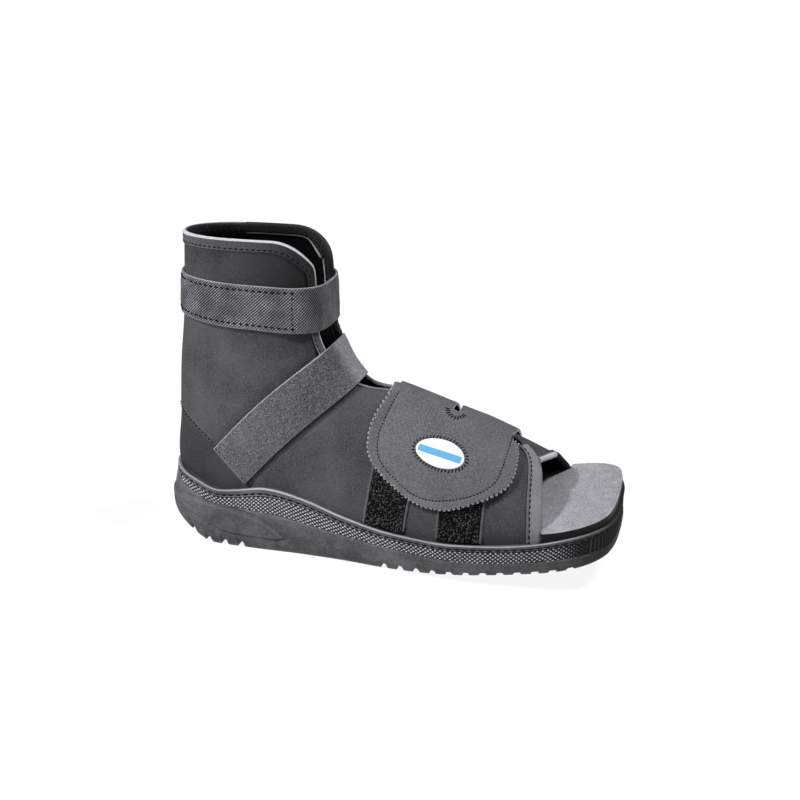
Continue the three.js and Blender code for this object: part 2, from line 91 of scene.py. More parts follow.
# x, near half width, far half width
SOLE_PLAN = [
    (-146, 4, 4), (-144, 14, 14), (-138, 25, 25), (-127, 33.5, 33.5), (-110, 38.5, 38.5),
    (-80, 40.5, 40), (-50, 41, 40.5), (-20, 43, 42.5), (10, 47, 46.5), (40, 51, 50.5),
    (70, 53.3, 52.8), (98, 53.5, 53.5), (116, 51.5, 53.3), (128, 46.5, 52), (136, 40, 48.5),
    (142, 31, 43), (145.2, 18, 32),
]

# x, rim height, floor height, insole thickness
SOLE_HEIGHTS = [
    (-150, 47, 27, 9), (-138, 46, 27, 9), (-120, 43, 27, 9), (-104, 38.5, 27, 9),
    (-90, 40, 26.5, 9), (-70, 43.5, 26, 9), (-46, 39.5, 25, 9), (-20, 31.5, 23.4, 9),
    (5, 26.5, 22, 9.5), (26, 25, 21.6, 10), (46, 24.6, 21.6, 10), (65, 26.2, 23.4, 10),
    (83, 28.4, 25.8, 10), (99, 31.2, 28.6, 10), (121, 36.1, 33.4, 9), (134, 38.2, 36, 8.4),
    (150, 40.4, 38.4, 8),
]

# Lower edge of the side band: x, share of the way from the ground edge to the rim
BAND_LOW = [
    (-150, 0.76), (-120, 0.76), (-98, 0.73), (-72, 0.62), (-46, 0.585), (-20, 0.59), (7, 0.6),
    (32, 0.54), (63, 0.46), (116, 0.42), (150, 0.36),
]

# Wall below the band: share of the way up to the band, inset
LOWER_WALL = [
    (0, 4.5), (0.05, 3.3), (0.117, 2.2), (0.22, 1.2), (0.35, 0.55), (0.5, 0.2), (0.65, 0.25),
    (0.8, 0.35), (0.93, 0.4), (1, 0.6),
]

# Wall above the band, with the stitched groove and the rim bead: drop below the rim, inset
UPPER_WALL = [
    (5.2, 0.8), (4.8, 0.7), (4.5, 0.8), (4.35, 1.2), (3.45, 1.2), (3.3, 0.75), (3.0, 0.5),
    (2.0, 0.3), (1.0, 0.22), (0.5, 0.25), (0.2, 0.42), (0.03, 0.8), (0, 1.3), (0.08, 1.9),
]

# Steps of the wall behind the bead: drop below the rim, inset past the ledge's inner end
CUP_WALL = [(0.9, 0), (9, 0.3)]
BEAD_BACK = (0.35, 2.3)

# Ledge behind the bead: x, inset of its inner end
LEDGE = [(-150, 5.5), (101, 5.5), (104, 1.8), (150, 1.8)]

# Height of the rim edge, with its bead and groove, as a share of its height at the arch: x, share
RIM_EDGE = [(-150, 0.7), (-110, 0.8), (-75, 1), (-30, 0.9), (20, 0.68), (150, 0.6)]

# Raised pad on the heel wall: x, low edge, high edge
HEEL_PAD = [
    (-150, 27, 29), (-125, 21.5, 29.5), (-114, 16.7, 29), (-102, 12.3, 27.7), (-88, 10.2, 25.6),
    (-72, 9.6, 20.9), (-62, 10, 15), (-57, 11.6, 11.4), (-50, 13, 9),
]

# Insole
INSOLE_FELT_LEVELS = 2
INSOLE_COLUMNS = 36
INSOLE_EVERY = 3
INSOLE_DISH = 1.6
INSOLE_DISH_SPAN = (-80, 0)
INSOLE_DISH_LEAST = 0.5
INSOLE_WAVE = 0.18
INSOLE_BARE = (96, 112)
INSOLE_TILT_NEAR = -0.9
INSOLE_TILT_FAR = 2.0

# Foot of its wall: height above its bottom, extra inset
INSOLE_FOOT = [(0, 0.6), (0.8, 0)]

# Shoulder of its wall: drop below its top, extra inset
INSOLE_SHOULDER = [(1.3, -0.1), (0.55, 0), (0.15, 0.3), (0, 1.2)]

# x, inset from the sole outline
INSOLE_INSET = [(-150, 9.5), (-60, 8.8), (60, 8.4), (103.4, 8.2), (104.8, 2), (150, 2)]
INSOLE_FAR_SHIFT = 5

# Upper
WALL = 3
GAP = 0.3
COLLAR_HEIGHT = 195.6
COLLAR_CORNER_X = -66
COLLAR_CORNER_RADIUS = 27
SHAFT_FOOT = 140
FAR_QUARTER_LAP = 1.1
OUT_OF_REACH = 20.0
FLOOR_GAP = 0.5
TOE_LAP = 1.6
EDGE_WALL = 1.5
EDGE_THINNING = (7, 16)
QUARTER_ROUND = 0.4
EDGE_TOLERANCE = 0.7
OPENING_TOLERANCE = 0.4
SEAM_STITCH_OFFSET = 2.0
HEEL_SINK = 0.5
HEEL_LIP = 0.275
HEEL_EASE = 0.6
TOE_BINDING_START = 86
STRAP_THICKNESS = 1.6
FLAP_THICKNESS = 2.2
FLAP_LIFT = 2.2
FLAP_TOOTH_PITCH = 2.9
FLAP_TOOTH_DEPTH = 1.8
FLAP_FAR_HEM = 52
FLAP_SPAN = (6, 78)
FLAP_SLOT = {"x": 42.5, "half_length": 2.0, "near_y": -5, "far_y": 27}
ANKLE_STRAP = {"back": (148.2, 172.2), "front": (141.6, 168.8), "start": -8, "end": 24, "turns": 28}
ANKLE_STITCH_TURN = 2.19
ANKLE_STITCH_INSET = 2.6
ANKLE_COLUMNS = 19
INSTEP_STRAP = {
    "x": -20.5, "z": 122.8, "rise_deg": 43, "width": 28.4, "far_reach": 62, "reach": 100, "bow": 2.8
}
LOOP_STRIPS = {
    "rear": {"x": 7.5, "half_width": 13, "lean": 0.12},
    "front": {"x": 55, "half_width": 13.5, "lean": 0.03},
}
LOOP_TOP = 74
LOOP_BASE = 0.5
LOOP_SPACING = 1.0
LOOP_RISE = 1.1
LOOP_WORN_SHARE = 0.46
LOOP_THREAD = 0.17
LOOP_SPREAD = 0.8
LOOP_SIDES = 3
LOOP_BENDS = [(-0.5, 0), (-0.42, 0.75), (0.05, 1), (0.45, 0.7), (0.5, 0)]
BADGE = {"x": 39.4, "z": 71.6, "half_length": 14.9, "half_height": 6.4, "tilt_deg": -12}
BADGE_BED = FLAP_LIFT + FLAP_THICKNESS + 0.35
BADGE_SIDES = 128
BADGE_MIDDLE = 0.66
BADGE_THREAD = 0.07

# Fullness of the cloth: waves and the throat's fold, and how deep a strap, a seam and the rim press it in
EASE_WAVE = 0.35
EASE_FOLD = 0.5
STRAP_PRESS = 1.1
SEAM_PRESS = 0.7
RIM_PRESS = 0.5

# Straps: widths, puff, ripple and roundness of their edges
ANKLE_WIDTH = 26
ANKLE_WEAVE_WIDTH = 27
ANKLE_PUFF = 0.5
ANKLE_STITCH_DENT = 0.4
ANKLE_RIPPLE = 0.25
ANKLE_ROUND = 0.45
INSTEP_LIFT = 0.3
INSTEP_PUFF = 0.45
INSTEP_RIPPLE = 0.2
INSTEP_ROUND = 0.5

# Shape of the flap's face, and roundness of its edge and of the loop strips'
FLAP_CURL = 1.0
FLAP_CURL_WAVE = 0.5
FLAP_CROWN = 0.5
FLAP_SEAM_DENT = 0.35
FLAP_FRONT_DROP = 0.35
FLAP_STITCH_RISE = 0.12
FLAP_ROUND = 0.25
LOOP_ROUND = 0.2

# Oval badge from its edge inwards: reach, height above the flap, finish
BADGE_PROFILE = [
    (1.0, 0.05, 1), (1.02, 0.35, 1), (1.0, 0.75, 1), (0.96, 0.9, 1), (0.92, 0.8, 1), (0.89, 0.55, 0),
    (0.8, 0.55, 0), (0.6, 0.62, 0), (0.4, 0.65, 0), (0.2, BADGE_MIDDLE, 0),
]

# Stitches
SOLE_STITCH = {"pitch": 5.0, "length": 3.1, "width": 1.4, "height": 0.7}
TAPE_STITCH = {"pitch": 3.6, "length": 2.3, "width": 0.9, "height": 0.4}
STRAP_STITCH = {"pitch": 4.0, "length": 2.3, "width": 1.1, "height": 0.5}
TACK_STITCH = {"pitch": 2.9, "length": 1.8, "width": 0.85, "height": 0.45}
HEEL_STITCH = {"pitch": 3.0, "length": 1.9, "width": 0.7, "height": 0.35}
FLAP_STITCH = {"pitch": 2.1, "length": 1.35, "width": 0.7, "height": 0.4}
SLOT_STITCH = {"pitch": 1.8, "length": 3.0, "width": 0.8, "height": 0.4, "turn": math.radians(75)}
BADGE_STITCH = {"pitch": 2.1, "length": 2.6, "width": 0.75, "height": 0.35, "turn": math.radians(72)}
STITCH_SHAPE = [(-0.5, 0.25), (-0.36, 0.85), (0, 1), (0.36, 0.85), (0.5, 0.25)]
STITCH_SIDES = 6

# Rounded edge of a cloth: share of the way to the inner face, share of its roundness
EDGE_ROUNDING = ((0.12, 0.7), (0.5, 1.0), (0.88, 0.7))
EDGE_STRIPS = len(EDGE_ROUNDING) + 1

# back x, back z, front x, front z, half width, widest share, back power, front power
LAST_SECTIONS = [
    (-130, 206, -38.5, 206, 21.5, 0.5, 2.2, 3),
    (-129.5, 174, -39, 174, 32, 0.5, 2.2, 3.2),
    (-131.5, 142, -38.5, 142, 35, 0.5, 2.2, 3.2),
    (-134.5, 114, -32.5, 127, 36.5, 0.5, 2.2, 2.8),
    (-138, 78, -23.5, 113.5, 36.5, 0.5, 2.2, 2.4),
    (-140, 44, -11, 104.5, 35.5, 0.46, 2.4, 2.1),
    (-130, 8, 6, 102, 36, 0.42, 2.6, 2.0),
    (-84, 2, 27, 95.8, 37, 0.36, 2.8, 1.9),
    (-30, 0, 47, 88.7, 41.5, 0.34, 3, 1.9),
    (22, 0, 66.5, 81.8, 46.2, 0.34, 3, 1.9),
    (64, 0, 85, 73, 48.4, 0.38, 3, 2.0),
    (98, 4, 102, 63.5, 48.4, 0.44, 3, 2.1),
    (116, 6, 116, 57.5, 48.4, 0.5, 3, 2.2),
]

# x, half gap of the front opening
FRONT_OPENING = [
    (-60, 17), (-34, 17), (-28, 15), (-14, 7), (4, 3.8), (25, 12), (46, 17), (68, 10), (85, 0.6),
]

# y, x of the near quarter's front edge at the toe
NEAR_TOE_EDGE = [
    (-60, 104), (-48, 103), (-43, 102), (-34, 100.5), (-24, 98.9), (-15, 97.2), (-9.5, 95.2),
    (-5, 92.6), (-2.3, 90), (-0.8, 87.9), (0.3, 85.5), (1, 84),
]

# y, x of the far quarter's front edge at the toe
FAR_TOE_EDGE = [
    (-30, 90), (-11, 94.2), (-3, 96.9), (5.4, 99.4), (15, 101.3), (25, 102), (34, 102.4),
    (40, 104), (45, 107.5), (50, 109),
]

# x, z of the flap's free edge on the near side
FLAP_EDGE = [
    (6, 112), (1.8, 100.4), (-2.9, 93), (-5.7, 86), (-6.4, 79), (-5.8, 71.5), (-3.2, 66),
    (0.2, 62.2), (6, 57), (14.5, 51.6), (22.5, 47.2), (33, 44), (44.6, 43.2), (54, 45), (62, 47.8),
    (70, 50.8), (78, 54.6), (82.6, 58.2), (84.4, 62.5), (84.4, 67), (83.2, 71.5), (81.8, 73.8),
    (78.2, 75.8), (74.5, 80),
]

# x, z of the flap's stitched line
FLAP_SEAM = [
    (7.2, 99.8), (6.5, 98.2), (4.5, 93.8), (2.6, 88.5), (0.6, 82.6), (0.3, 76), (1.9, 68.7),
    (6.8, 62.5), (13.5, 57.6), (21.1, 52.6), (29.8, 49.2), (38.1, 48.3), (45.9, 48.9),
    (54.9, 50.7), (63.5, 53.4), (69.2, 56), (74.5, 60.2), (76.8, 67.2), (77.3, 73.8), (77.3, 76.4),
]

# x, z of the heel seam
HEEL_SEAM = [
    (-160, 90), (-136, 83.5), (-119.5, 76), (-107, 67.4), (-94.5, 55.4), (-83, 43), (-74.5, 31),
    (-66, 12),
]

# Search for a mark: rows from and to and their count, count of turns, rounds, longest stride of a round
SEARCH_ROWS = (0.1, 11.9, 240)
SEARCH_TURNS = 160
SEARCH_ROUNDS = 8
SEARCH_STRIDE = 0.05

# A point this close to a cut lies on it
TRIM_SNAP = 0.03

# Binding sections: distance out past the cloth edge, height above the cloth
COLLAR_SECTION = [
    (-6.4, 0.15), (-6.4, 0.55), (-6.0, 0.8), (-5.2, 0.6), (-3, 0.85), (-0.6, 0.95), (0.4, 0.75),
    (0.9, 0.1), (1.0, -0.75), (0.9, -1.6), (0.4, -2.25), (-0.6, -2.45), (-5.4, -2.4),
    (-6.0, -2.35), (-6.4, -2.1), (-6.4, -1.65), (-0.3, -1.65), (0.2, -1.3), (0.2, -0.3),
    (-0.3, 0.15),
]

# Far throat, where the tape's inner flange is wider, and where its pale line, a painted highlight, starts and
# ends; below the line's foot the tape is all in painted shade
FAR_THROAT = (-60, -42)
FAR_LINE_START = -100
FAR_LINE_FOOT = 156

# The four corners of the wider flange, and the first corner that they replace
FAR_FLANGE_FIRST = 12
FAR_FLANGE = [(-7.4, -4.5), (-8.6, -5.2), (-9.3, -5.1), (-9.3, -4.6)]

# Where the stitches run on each tape: distance out past the cloth edge, height above the cloth
COLLAR_STITCH_SEAT = (-5.2, 0.65)
TOE_STITCH_SEAT = (-5.6, 0.85)
FAR_TOE_STITCH_SEAT = (-2.7, 0.9)

# Inner row of stitches in the far collar: distance in from the edge, depth, more depth in the throat
INNER_STITCH_INSET = 4.2
INNER_STITCH_DEPTH = 2.5
INNER_STITCH_DEEPER = 1.1

# Finish of each strip of a section, for each kind of stretch along the edge: 0 the tape, 1 a painted
# highlight on its fold, 2 painted shade, 3 paler tape as a painted highlight; the rows are lit and shaded
# copies of one tape
COLLAR_TONES = [
    [0, 0, 0, 0, 0, 1, 1, 1, 0, 2, 2, 2, 2, 2, 2, 2, 2, 2, 2, 2],
    [0, 0, 0, 0, 0, 0, 2, 2, 2, 2, 2, 2, 1, 1, 1, 2, 2, 2, 2, 2],
    [0, 0, 0, 0, 0, 0, 2, 2, 2, 2, 2, 2, 2, 2, 2, 2, 2, 2, 2, 2],
]
TOE_SECTION = [
    (-7.4, 0.15), (-7.4, 0.7), (-6.9, 1.0), (-5.6, 0.8), (-3.6, 1.25), (-0.8, 1.45), (0.8, 1.1),
    (1.6, 0.1), (1.8, -1.5), (1.5, -3.0), (0.6, -3.5), (0.3, -3.0), (0.5, -1.5), (0.2, 0.15),
]
# The near toe tape's upper strips in paler tape, a painted highlight
TOE_TONES = [[0, 0, 0, 3, 3, 3, 3, 3, 0, 0, 0, 0, 0, 0]]
FAR_TOE_SECTION = [
    (-3.6, 0.15), (-3.5, 0.7), (-3.0, 0.85), (-1.8, 0.95), (-0.6, 1.2), (0.9, 0.9), (1.7, -0.1),
    (1.8, -1.3), (1.2, -2.4), (0.1, -2.8), (-1.4, -2.6), (-2.2, -1.7), (-0.3, -1.65), (0.3, -0.8),
    (-0.2, 0.15),
]
# Second row: past y 20 the far toe tape is all in painted shade
FAR_TOE_TONES = [
    [0, 0, 0, 0, 1, 1, 1, 3, 0, 2, 2, 2, 0, 0, 0],
    [0, 0, 0, 0, 2, 2, 2, 2, 2, 2, 2, 2, 2, 2, 2],
]
EDGE_ROLL_SECTION = [
    (-1.3, 0.12), (-1.2, 0.4), (-0.3, 0.5), (0.4, 0.3), (0.7, -0.4), (0.7, -1.2), (0.4, -1.8),
    (-0.3, -2.0), (-1.2, -1.9), (-1.3, -1.6), (-0.2, -1.6), (0.2, -1.2), (0.2, -0.4), (-0.2, 0.1),
]
SELVAGE_SECTION = [(-0.9, 0.25), (-0.9, 0.8), (-0.4, 1.25), (0.3, 1.25), (0.7, 0.8), (0.7, 0.25)]

# Where painted shade and a painted highlight change over the boot, in metres: from, to
THROAT_PAINTED_SHADE_X = (-0.115, -0.05)
THROAT_PAINTED_SHADE_Z = (0.125, 0.165)
STRAP_FOLD_HIGHLIGHT_Y = (-0.015, -0.006)

# Painted shade in the throat, shine, and rubbed edges of the finishes, which are partly wear and partly
# painted highlight
THROAT_PAINTED_SHADE = 0.008
THROAT_PAINTED_SHADE_MOST = 0.85
CLOTH_SHINE = 0.05
RUBBER_SHINE = 0.12
CLOTH_RUB_AND_HIGHLIGHT = {"Start": 0.52, "Full": 0.6}

# Light, in metres and degrees
SKY_BRIGHT_SIDE = (-0.55, -0.45, 0.7)
SUN_FROM = (0.5, 0.05, 1)
SUN_STRENGTH = 3.5
SUN_SPREAD_DEG = 14
KEY_SPOT = {
    "place": (-0.6, -0.62, 0.92), "aim": (-0.05, -0.045, 0.045),
    "radius": 0.16, "cone_deg": 15.5, "power": 185
}
FILL_SPOT = {
    "place": (-0.42, -0.56, 0.24), "aim": (-0.085, -0.03, 0.1),
    "radius": 0.06, "cone_deg": 15, "power": 19
}
FLOOR_GLOW = 0.9
HORIZON_TOP = 0.12
HORIZON_FADE = 0.1
FLOOR_DROP = 0.0003
FLOOR_REACH = 15

# Camera, in millimetres and degrees
CAMERA_TARGET = (8, 0, 95)
CAMERA_DISTANCE = 797
CAMERA_ELEVATION = 19.5
CAMERA_YAW = 14.5
CAMERA_LENS = 57.87
CAMERA_SHIFT = -0.0025


# Tables and curves


def smooth_table(rows):
    """A function that runs smoothly through the rows; the first column is the position."""
    table = np.array(rows, float)
    at = table[:, 0]
    values = table[:, 1:]
    last = len(at) - 1

    def read(position):
        t = np.clip(np.asarray(position, float), at[0], at[-1])
        low = np.clip(np.searchsorted(at, t, side="right") - 1, 0, last - 1)
        high = low + 1
        before = np.where(low > 0, low - 1, high)
        after = np.where(high < last, high + 1, low)
        half = (at[high] - at[low]) / 2
        pull_in = half / (at[low] - at[before])
        pull_out = half / (at[after] - at[high])
        p = (t - at[low]) / (at[high] - at[low])
        shares = [
            (before, -pull_in * p**3 + 2 * pull_in * p**2 - pull_in * p),
            (low, (1 + pull_in) * p**3 - (1.5 + 2 * pull_in) * p**2 + (pull_in - 0.5) * p + 1),
            (high, -(1 + pull_out) * p**3 + (1.5 + pull_out) * p**2 + 0.5 * p),
            (after, pull_out * p**3 - pull_out * p**2),
        ]
        return sum(share[..., None] * values[index] for index, share in shares)

    return read


def run_along(line):
    """Lengths along a line, one for each of its points."""
    return np.concatenate([[0], np.cumsum(np.linalg.norm(np.diff(line, axis=0), axis=1))])


def read_at(places, own, columns):
    """Each column read at places between its own."""
    return np.column_stack([np.interp(places, own, column) for column in columns.T])


def smooth_curve(corners, step):
    """Points about a step apart on a smooth curve through the corners."""
    corners = np.array(corners, float)
    run = run_along(corners)
    curve = smooth_table(np.column_stack([run, corners]))
    fine = curve(np.linspace(0, run[-1], 40 * len(corners)))
    return spaced(fine, step)


def spaced(line, step):
    """The same line with its points an even step apart."""
    run = run_along(line)
    count = max(2, int(round(run[-1] / step)) + 1)
    return read_at(np.linspace(0, run[-1], count), run, line)


def softened(line, rounds):
    """The same line with small kinks smoothed away and its ends kept."""
    line = line.copy()
    for _ in range(rounds):
        line[1:-1] = line[1:-1] / 2 + (line[:-2] + line[2:]) / 4
    return line


def step_up(value, low, high):
    share = np.clip((value - low) / (high - low), 0, 1)
    return share * share * (3 - 2 * share)


def unit(vectors):
    return vectors / np.maximum(np.linalg.norm(vectors, axis=-1, keepdims=True), 1e-12)


last_row = smooth_table([(index, *row) for index, row in enumerate(LAST_SECTIONS)])
sole_heights = smooth_table(SOLE_HEIGHTS)
band_low = smooth_table(BAND_LOW)
heel_pad = smooth_table(HEEL_PAD)
front_opening = smooth_table(FRONT_OPENING)
lower_wall = smooth_table(LOWER_WALL)
near_toe_edge = smooth_table(NEAR_TOE_EDGE)
far_toe_edge = smooth_table(FAR_TOE_EDGE)


def rim_height(x):
    return sole_heights(x)[..., 0]


def floor_height(x):
    return sole_heights(x)[..., 1]


def insole_top(x):
    return sole_heights(x)[..., 1] + sole_heights(x)[..., 2]


# The last that the upper is shaped on. A turn of 0 is the back or underside, pi the front or ridge.


def last_point(along, turn):
    row = last_row(along)
    lean = np.cos(turn)
    side = np.sin(turn)
    root = 2 / np.where(lean > 0, row[..., 6], row[..., 7])
    reach = np.abs(lean) ** root
    widest = row[..., 5]
    share = np.where(lean > 0, widest * (1 - reach), widest + (1 - widest) * reach)
    across = -np.sign(side) * row[..., 4] * np.abs(side) ** root
    x = row[..., 0] + share * (row[..., 2] - row[..., 0])
    z = row[..., 1] + share * (row[..., 3] - row[..., 1])
    return np.stack([x, across, z], -1)


def last_normal(along, turn):
    step = 0.02
    lengthwise = last_point(along + step, turn) - last_point(along - step, turn)
    crosswise = last_point(along, turn + step) - last_point(along, turn - step)
    return unit(np.cross(lengthwise, crosswise))


def on_last(marks, lift):
    """Points a lift above the last, at marks of (along, turn)."""
    lift = np.broadcast_to(lift, len(marks))
    return last_point(*marks.T) + last_normal(*marks.T) * lift[:, None]


def even_turns(along, first, final, count):
    """Turns that stand evenly apart round one section of the last."""
    fine = np.linspace(first, final, 2000)
    points = last_point(np.full_like(fine, along), fine)
    run = run_along(points)
    return np.interp(np.linspace(0, run[-1], count), run, fine)


def find_marks(targets, axes, first_turn, final_turn):
    """The marks whose points have these two coordinates, searched between two turns."""
    targets = np.asarray(targets, float)
    rows = np.linspace(*SEARCH_ROWS)
    turns = np.linspace(first_turn, final_turn, SEARCH_TURNS)
    grid = np.stack(np.meshgrid(rows, turns, indexing="ij"), -1).reshape(-1, 2)
    seen = last_point(grid[:, 0], grid[:, 1])[:, axes]
    nearest = [np.argmin(((seen - target) ** 2).sum(1)) for target in targets]
    marks = grid[nearest]
    step = 1e-3
    for _ in range(SEARCH_ROUNDS):
        here = last_point(*marks.T)[:, axes]
        by_row = (last_point(marks[:, 0] + step, marks[:, 1])[:, axes] - here) / step
        by_turn = (last_point(marks[:, 0], marks[:, 1] + step)[:, axes] - here) / step
        miss = targets - here
        spread = by_row[:, 0] * by_turn[:, 1] - by_row[:, 1] * by_turn[:, 0]
        spread = np.where(np.abs(spread) < 1e-3, 1e9, spread)
        move_row = (miss[:, 0] * by_turn[:, 1] - miss[:, 1] * by_turn[:, 0]) / spread
        move_turn = (by_row[:, 0] * miss[:, 1] - by_row[:, 1] * miss[:, 0]) / spread
        move = np.stack([move_row, move_turn], -1)
        marks = marks + np.clip(move, -SEARCH_STRIDE, SEARCH_STRIDE)
    return marks


def near_side(targets):
    return find_marks(targets, [0, 2], 0.05, PI - 0.05)


def far_side(targets):
    return find_marks(targets, [0, 2], PI + 0.05, 2 * PI - 0.05)


def top_side(targets):
    return find_marks(targets, [0, 1], PI - 1.2, PI + 1.2)


# Cloth panels: a grid on the last, trimmed to the cut and given its thickness


def sheet_faces(rows, columns, first=0):
    """Faces of a grid of points that lie row by row."""
    start = (first + np.arange(rows - 1)[:, None] * columns + np.arange(columns - 1)).ravel()
    corners = np.stack([start, start + columns, start + columns + 1, start + 1], -1)
    return [tuple(face) for face in corners.tolist()]


def ring_walls(levels, count, first=0):
    """Faces between closed rings of points that lie one after the other."""
    faces = []
    for level in range(levels - 1):
        for column in range(count):
            here = first + level * count + column
            beside = first + level * count + (column + 1) % count
            faces.append((here, beside, beside + count, here + count))
    return faces


def panel(rows, turns, section, cuts):
    """A grid on the last, evenly spaced round one section and trimmed. Gives marks, faces and bare points."""
    rows = np.linspace(*rows)
    turns = even_turns(section, *turns)
    marks = np.stack(np.meshgrid(rows, turns, indexing="ij"), -1).reshape(-1, 2)
    faces = sheet_faces(len(rows), len(turns))
    for inside in cuts:
        marks, faces = trim(marks, faces, inside)
    return marks, faces, last_point(*marks.T)


def trim(marks, faces, inside):
    """Cuts a panel where inside turns negative and keeps the rest."""
    value = inside(last_point(*marks.T))
    value = np.where(np.abs(value) < TRIM_SNAP, 0, value)
    kept = []
    added = []
    crossing = {}
    for face in faces:
        around = [value[corner] for corner in face]
        if min(around) >= 0:
            kept.append(face)
            continue
        if max(around) <= 0:
            continue
        ring = []
        for here, there in zip(face, face[1:] + face[:1]):
            if value[here] >= 0:
                ring.append(here)
            if value[here] * value[there] < 0:
                key = (min(here, there), max(here, there))
                if key not in crossing:
                    share = value[here] / (value[here] - value[there])
                    crossing[key] = len(marks) + len(added)
                    added.append(marks[here] + share * (marks[there] - marks[here]))
                ring.append(crossing[key])
        kept.append(tuple(ring))
    used = sorted({corner for face in kept for corner in face})
    place = {corner: index for index, corner in enumerate(used)}
    marks = np.vstack([marks, np.array(added).reshape(-1, 2)])[used]
    return marks, [tuple(place[corner] for corner in face) for face in kept]


def rim_edges(faces):
    """The edges on the outside of a panel, each running with its face."""
    edges = [pair for face in faces for pair in zip(face, face[1:] + face[:1])]
    known = set(edges)
    return [edge for edge in edges if (edge[1], edge[0]) not in known]


def cloth_solid(points, normals, faces, thickness, roundness):
    """A panel with an inner face and a rounded edge. Gives points, faces and the finish of each face."""
    count = len(points)
    edges = rim_edges(faces)
    outward = np.zeros_like(points)
    for here, there in edges:
        side = np.cross(points[there] - points[here], normals[here])
        outward[here] += side
        outward[there] += side
    outward = unit(outward)
    inner = points - normals * np.reshape(thickness, (-1, 1))
    rim = sorted({corner for edge in edges for corner in edge})
    place = {corner: index for index, corner in enumerate(rim)}
    layers = []
    for depth, reach in EDGE_ROUNDING:
        layers.append(points[rim] * (1 - depth) + inner[rim] * depth + outward[rim] * roundness * reach)
    everything = np.vstack([points, inner, *layers])
    solid = list(faces)
    finish = [0] * len(faces)
    solid += [tuple(count + corner for corner in reversed(face)) for face in faces]
    finish += [1] * len(faces)
    for here, there in edges:
        columns = []
        for corner in (here, there):
            first = 2 * count + place[corner]
            between = [first + len(rim) * layer for layer in range(len(EDGE_ROUNDING))]
            columns.append([corner, *between, count + corner])
        left, right = columns
        for level in range(EDGE_STRIPS):
            solid.append((left[level], left[level + 1], right[level + 1], right[level]))
            finish.append(2)
    return everything, solid, finish


def edge_lines(marks, faces, is_open):
    """The open edges of a panel as lines of marks, longest first."""
    after = {here: there for here, there in rim_edges(faces) if is_open[here] and is_open[there]}
    starts = set(after) - set(after.values())
    lines = []
    for corner in starts:
        line = [corner]
        while corner in after:
            corner = after[corner]
            line.append(corner)
        lines.append(marks[line])
    return sorted(lines, key=len, reverse=True)


def edge_frame(line, step=1.2, rounds=6):
    """Points, run directions and normals along an edge line of marks."""
    along_edge = softened(spaced(on_last(line, 0.0), step), rounds)
    share = np.linspace(0, 1, len(along_edge))
    fine = np.linspace(0, 1, len(line))
    own_run = run_along(on_last(line, 0.0))
    place = np.interp(share, own_run / own_run[-1], fine)
    marks = read_at(place, fine, line)
    normals = unit(softened(last_normal(*marks.T), rounds))
    run = unit(np.gradient(along_edge, axis=0))
    return along_edge, run, normals


def swept(line, run, normals, section):
    """A section, or one section for each point, carried along a line and closed at both ends."""
    out = np.cross(run, normals)
    count = np.shape(section)[-2]
    section = np.broadcast_to(np.array(section, float), (len(line), count, 2))
    rings = line[:, None] + out[:, None] * section[:, :, :1] + normals[:, None] * section[:, :, 1:]
    faces = ring_walls(len(line), count)
    faces.append(tuple(range(count)))
    faces.append(tuple(reversed(range((len(line) - 1) * count, len(line) * count))))
    return rings.reshape(-1, 3), faces


def gathered(parts):
    """Several meshes of points and faces as one."""
    points = []
    faces = []
    shift = 0
    for part_points, part_faces in parts:
        points.append(part_points)
        faces += [tuple(corner + shift for corner in face) for face in part_faces]
        shift += len(part_points)
    return np.vstack(points), faces


def stitch_row(line, normals, pitch, length, width, height, turn=0.0):
    """Thread stitches a pitch apart along a line, each turned by an angle from the line."""
    even = spaced(np.column_stack([line, normals]), pitch)
    spots = even[:, :3]
    ups = unit(even[:, 3:])
    runs = unit(np.gradient(spots, axis=0))
    sides = unit(np.cross(ups, runs))
    heads = runs * math.cos(turn) + sides * math.sin(turn)
    across = np.cross(ups, heads)
    rings = []
    for share, size in STITCH_SHAPE:
        for side in range(STITCH_SIDES):
            angle = 2 * PI * side / STITCH_SIDES
            spread = size * width / 2 * math.cos(angle)
            rings.append((share * length, spread, size * height * math.sin(angle)))
    shape = np.array(rings)
    points = (
        spots[:, None]
        + heads[:, None] * shape[None, :, :1]
        + across[:, None] * shape[None, :, 1:2]
        + ups[:, None] * shape[None, :, 2:]
    )
    faces = []
    count = len(shape)
    for base in range(0, len(spots) * count, count):
        faces += ring_walls(len(STITCH_SHAPE), STITCH_SIDES, base)
        faces.append(tuple(base + side for side in reversed(range(STITCH_SIDES))))
        faces.append(tuple(base + count - STITCH_SIDES + side for side in range(STITCH_SIDES)))
    return points.reshape(-1, 3), faces


def put_in_scene(name, data):
    thing = bpy.data.objects.new(name, data)
    bpy.context.scene.collection.objects.link(thing)
    return thing


def make_piece(name, points, faces, finishes, stands_for=(), finish_of=None, weave=None, crease_deg=50):
    """A mesh object that rides on the boot, with its finishes and the CAD nodes that it stands for."""
    mesh = bpy.data.meshes.new(name)
    mesh.from_pydata((np.asarray(points) * MM).tolist(), [], faces)
    for finish in finishes:
        mesh.materials.append(finish)
    if finish_of is not None:
        mesh.polygons.foreach_set("material_index", finish_of)
    shape = bmesh.new()
    shape.from_mesh(mesh)
    bmesh.ops.recalc_face_normals(shape, faces=shape.faces)
    shape.to_mesh(mesh)
    shape.free()
    if weave is not None:
        corners = np.zeros(len(mesh.loops), int)
        mesh.loops.foreach_get("vertex_index", corners)
        threads = mesh.uv_layers.new(name="weave")
        threads.data.foreach_set("uv", weave[corners].ravel())
    mesh.shade_smooth()
    mesh.set_sharp_from_angle(angle=math.radians(crease_deg))
    piece = put_in_scene(name, mesh)
    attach(piece, "root")
    if stands_for:
        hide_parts(*stands_for)
    return piece


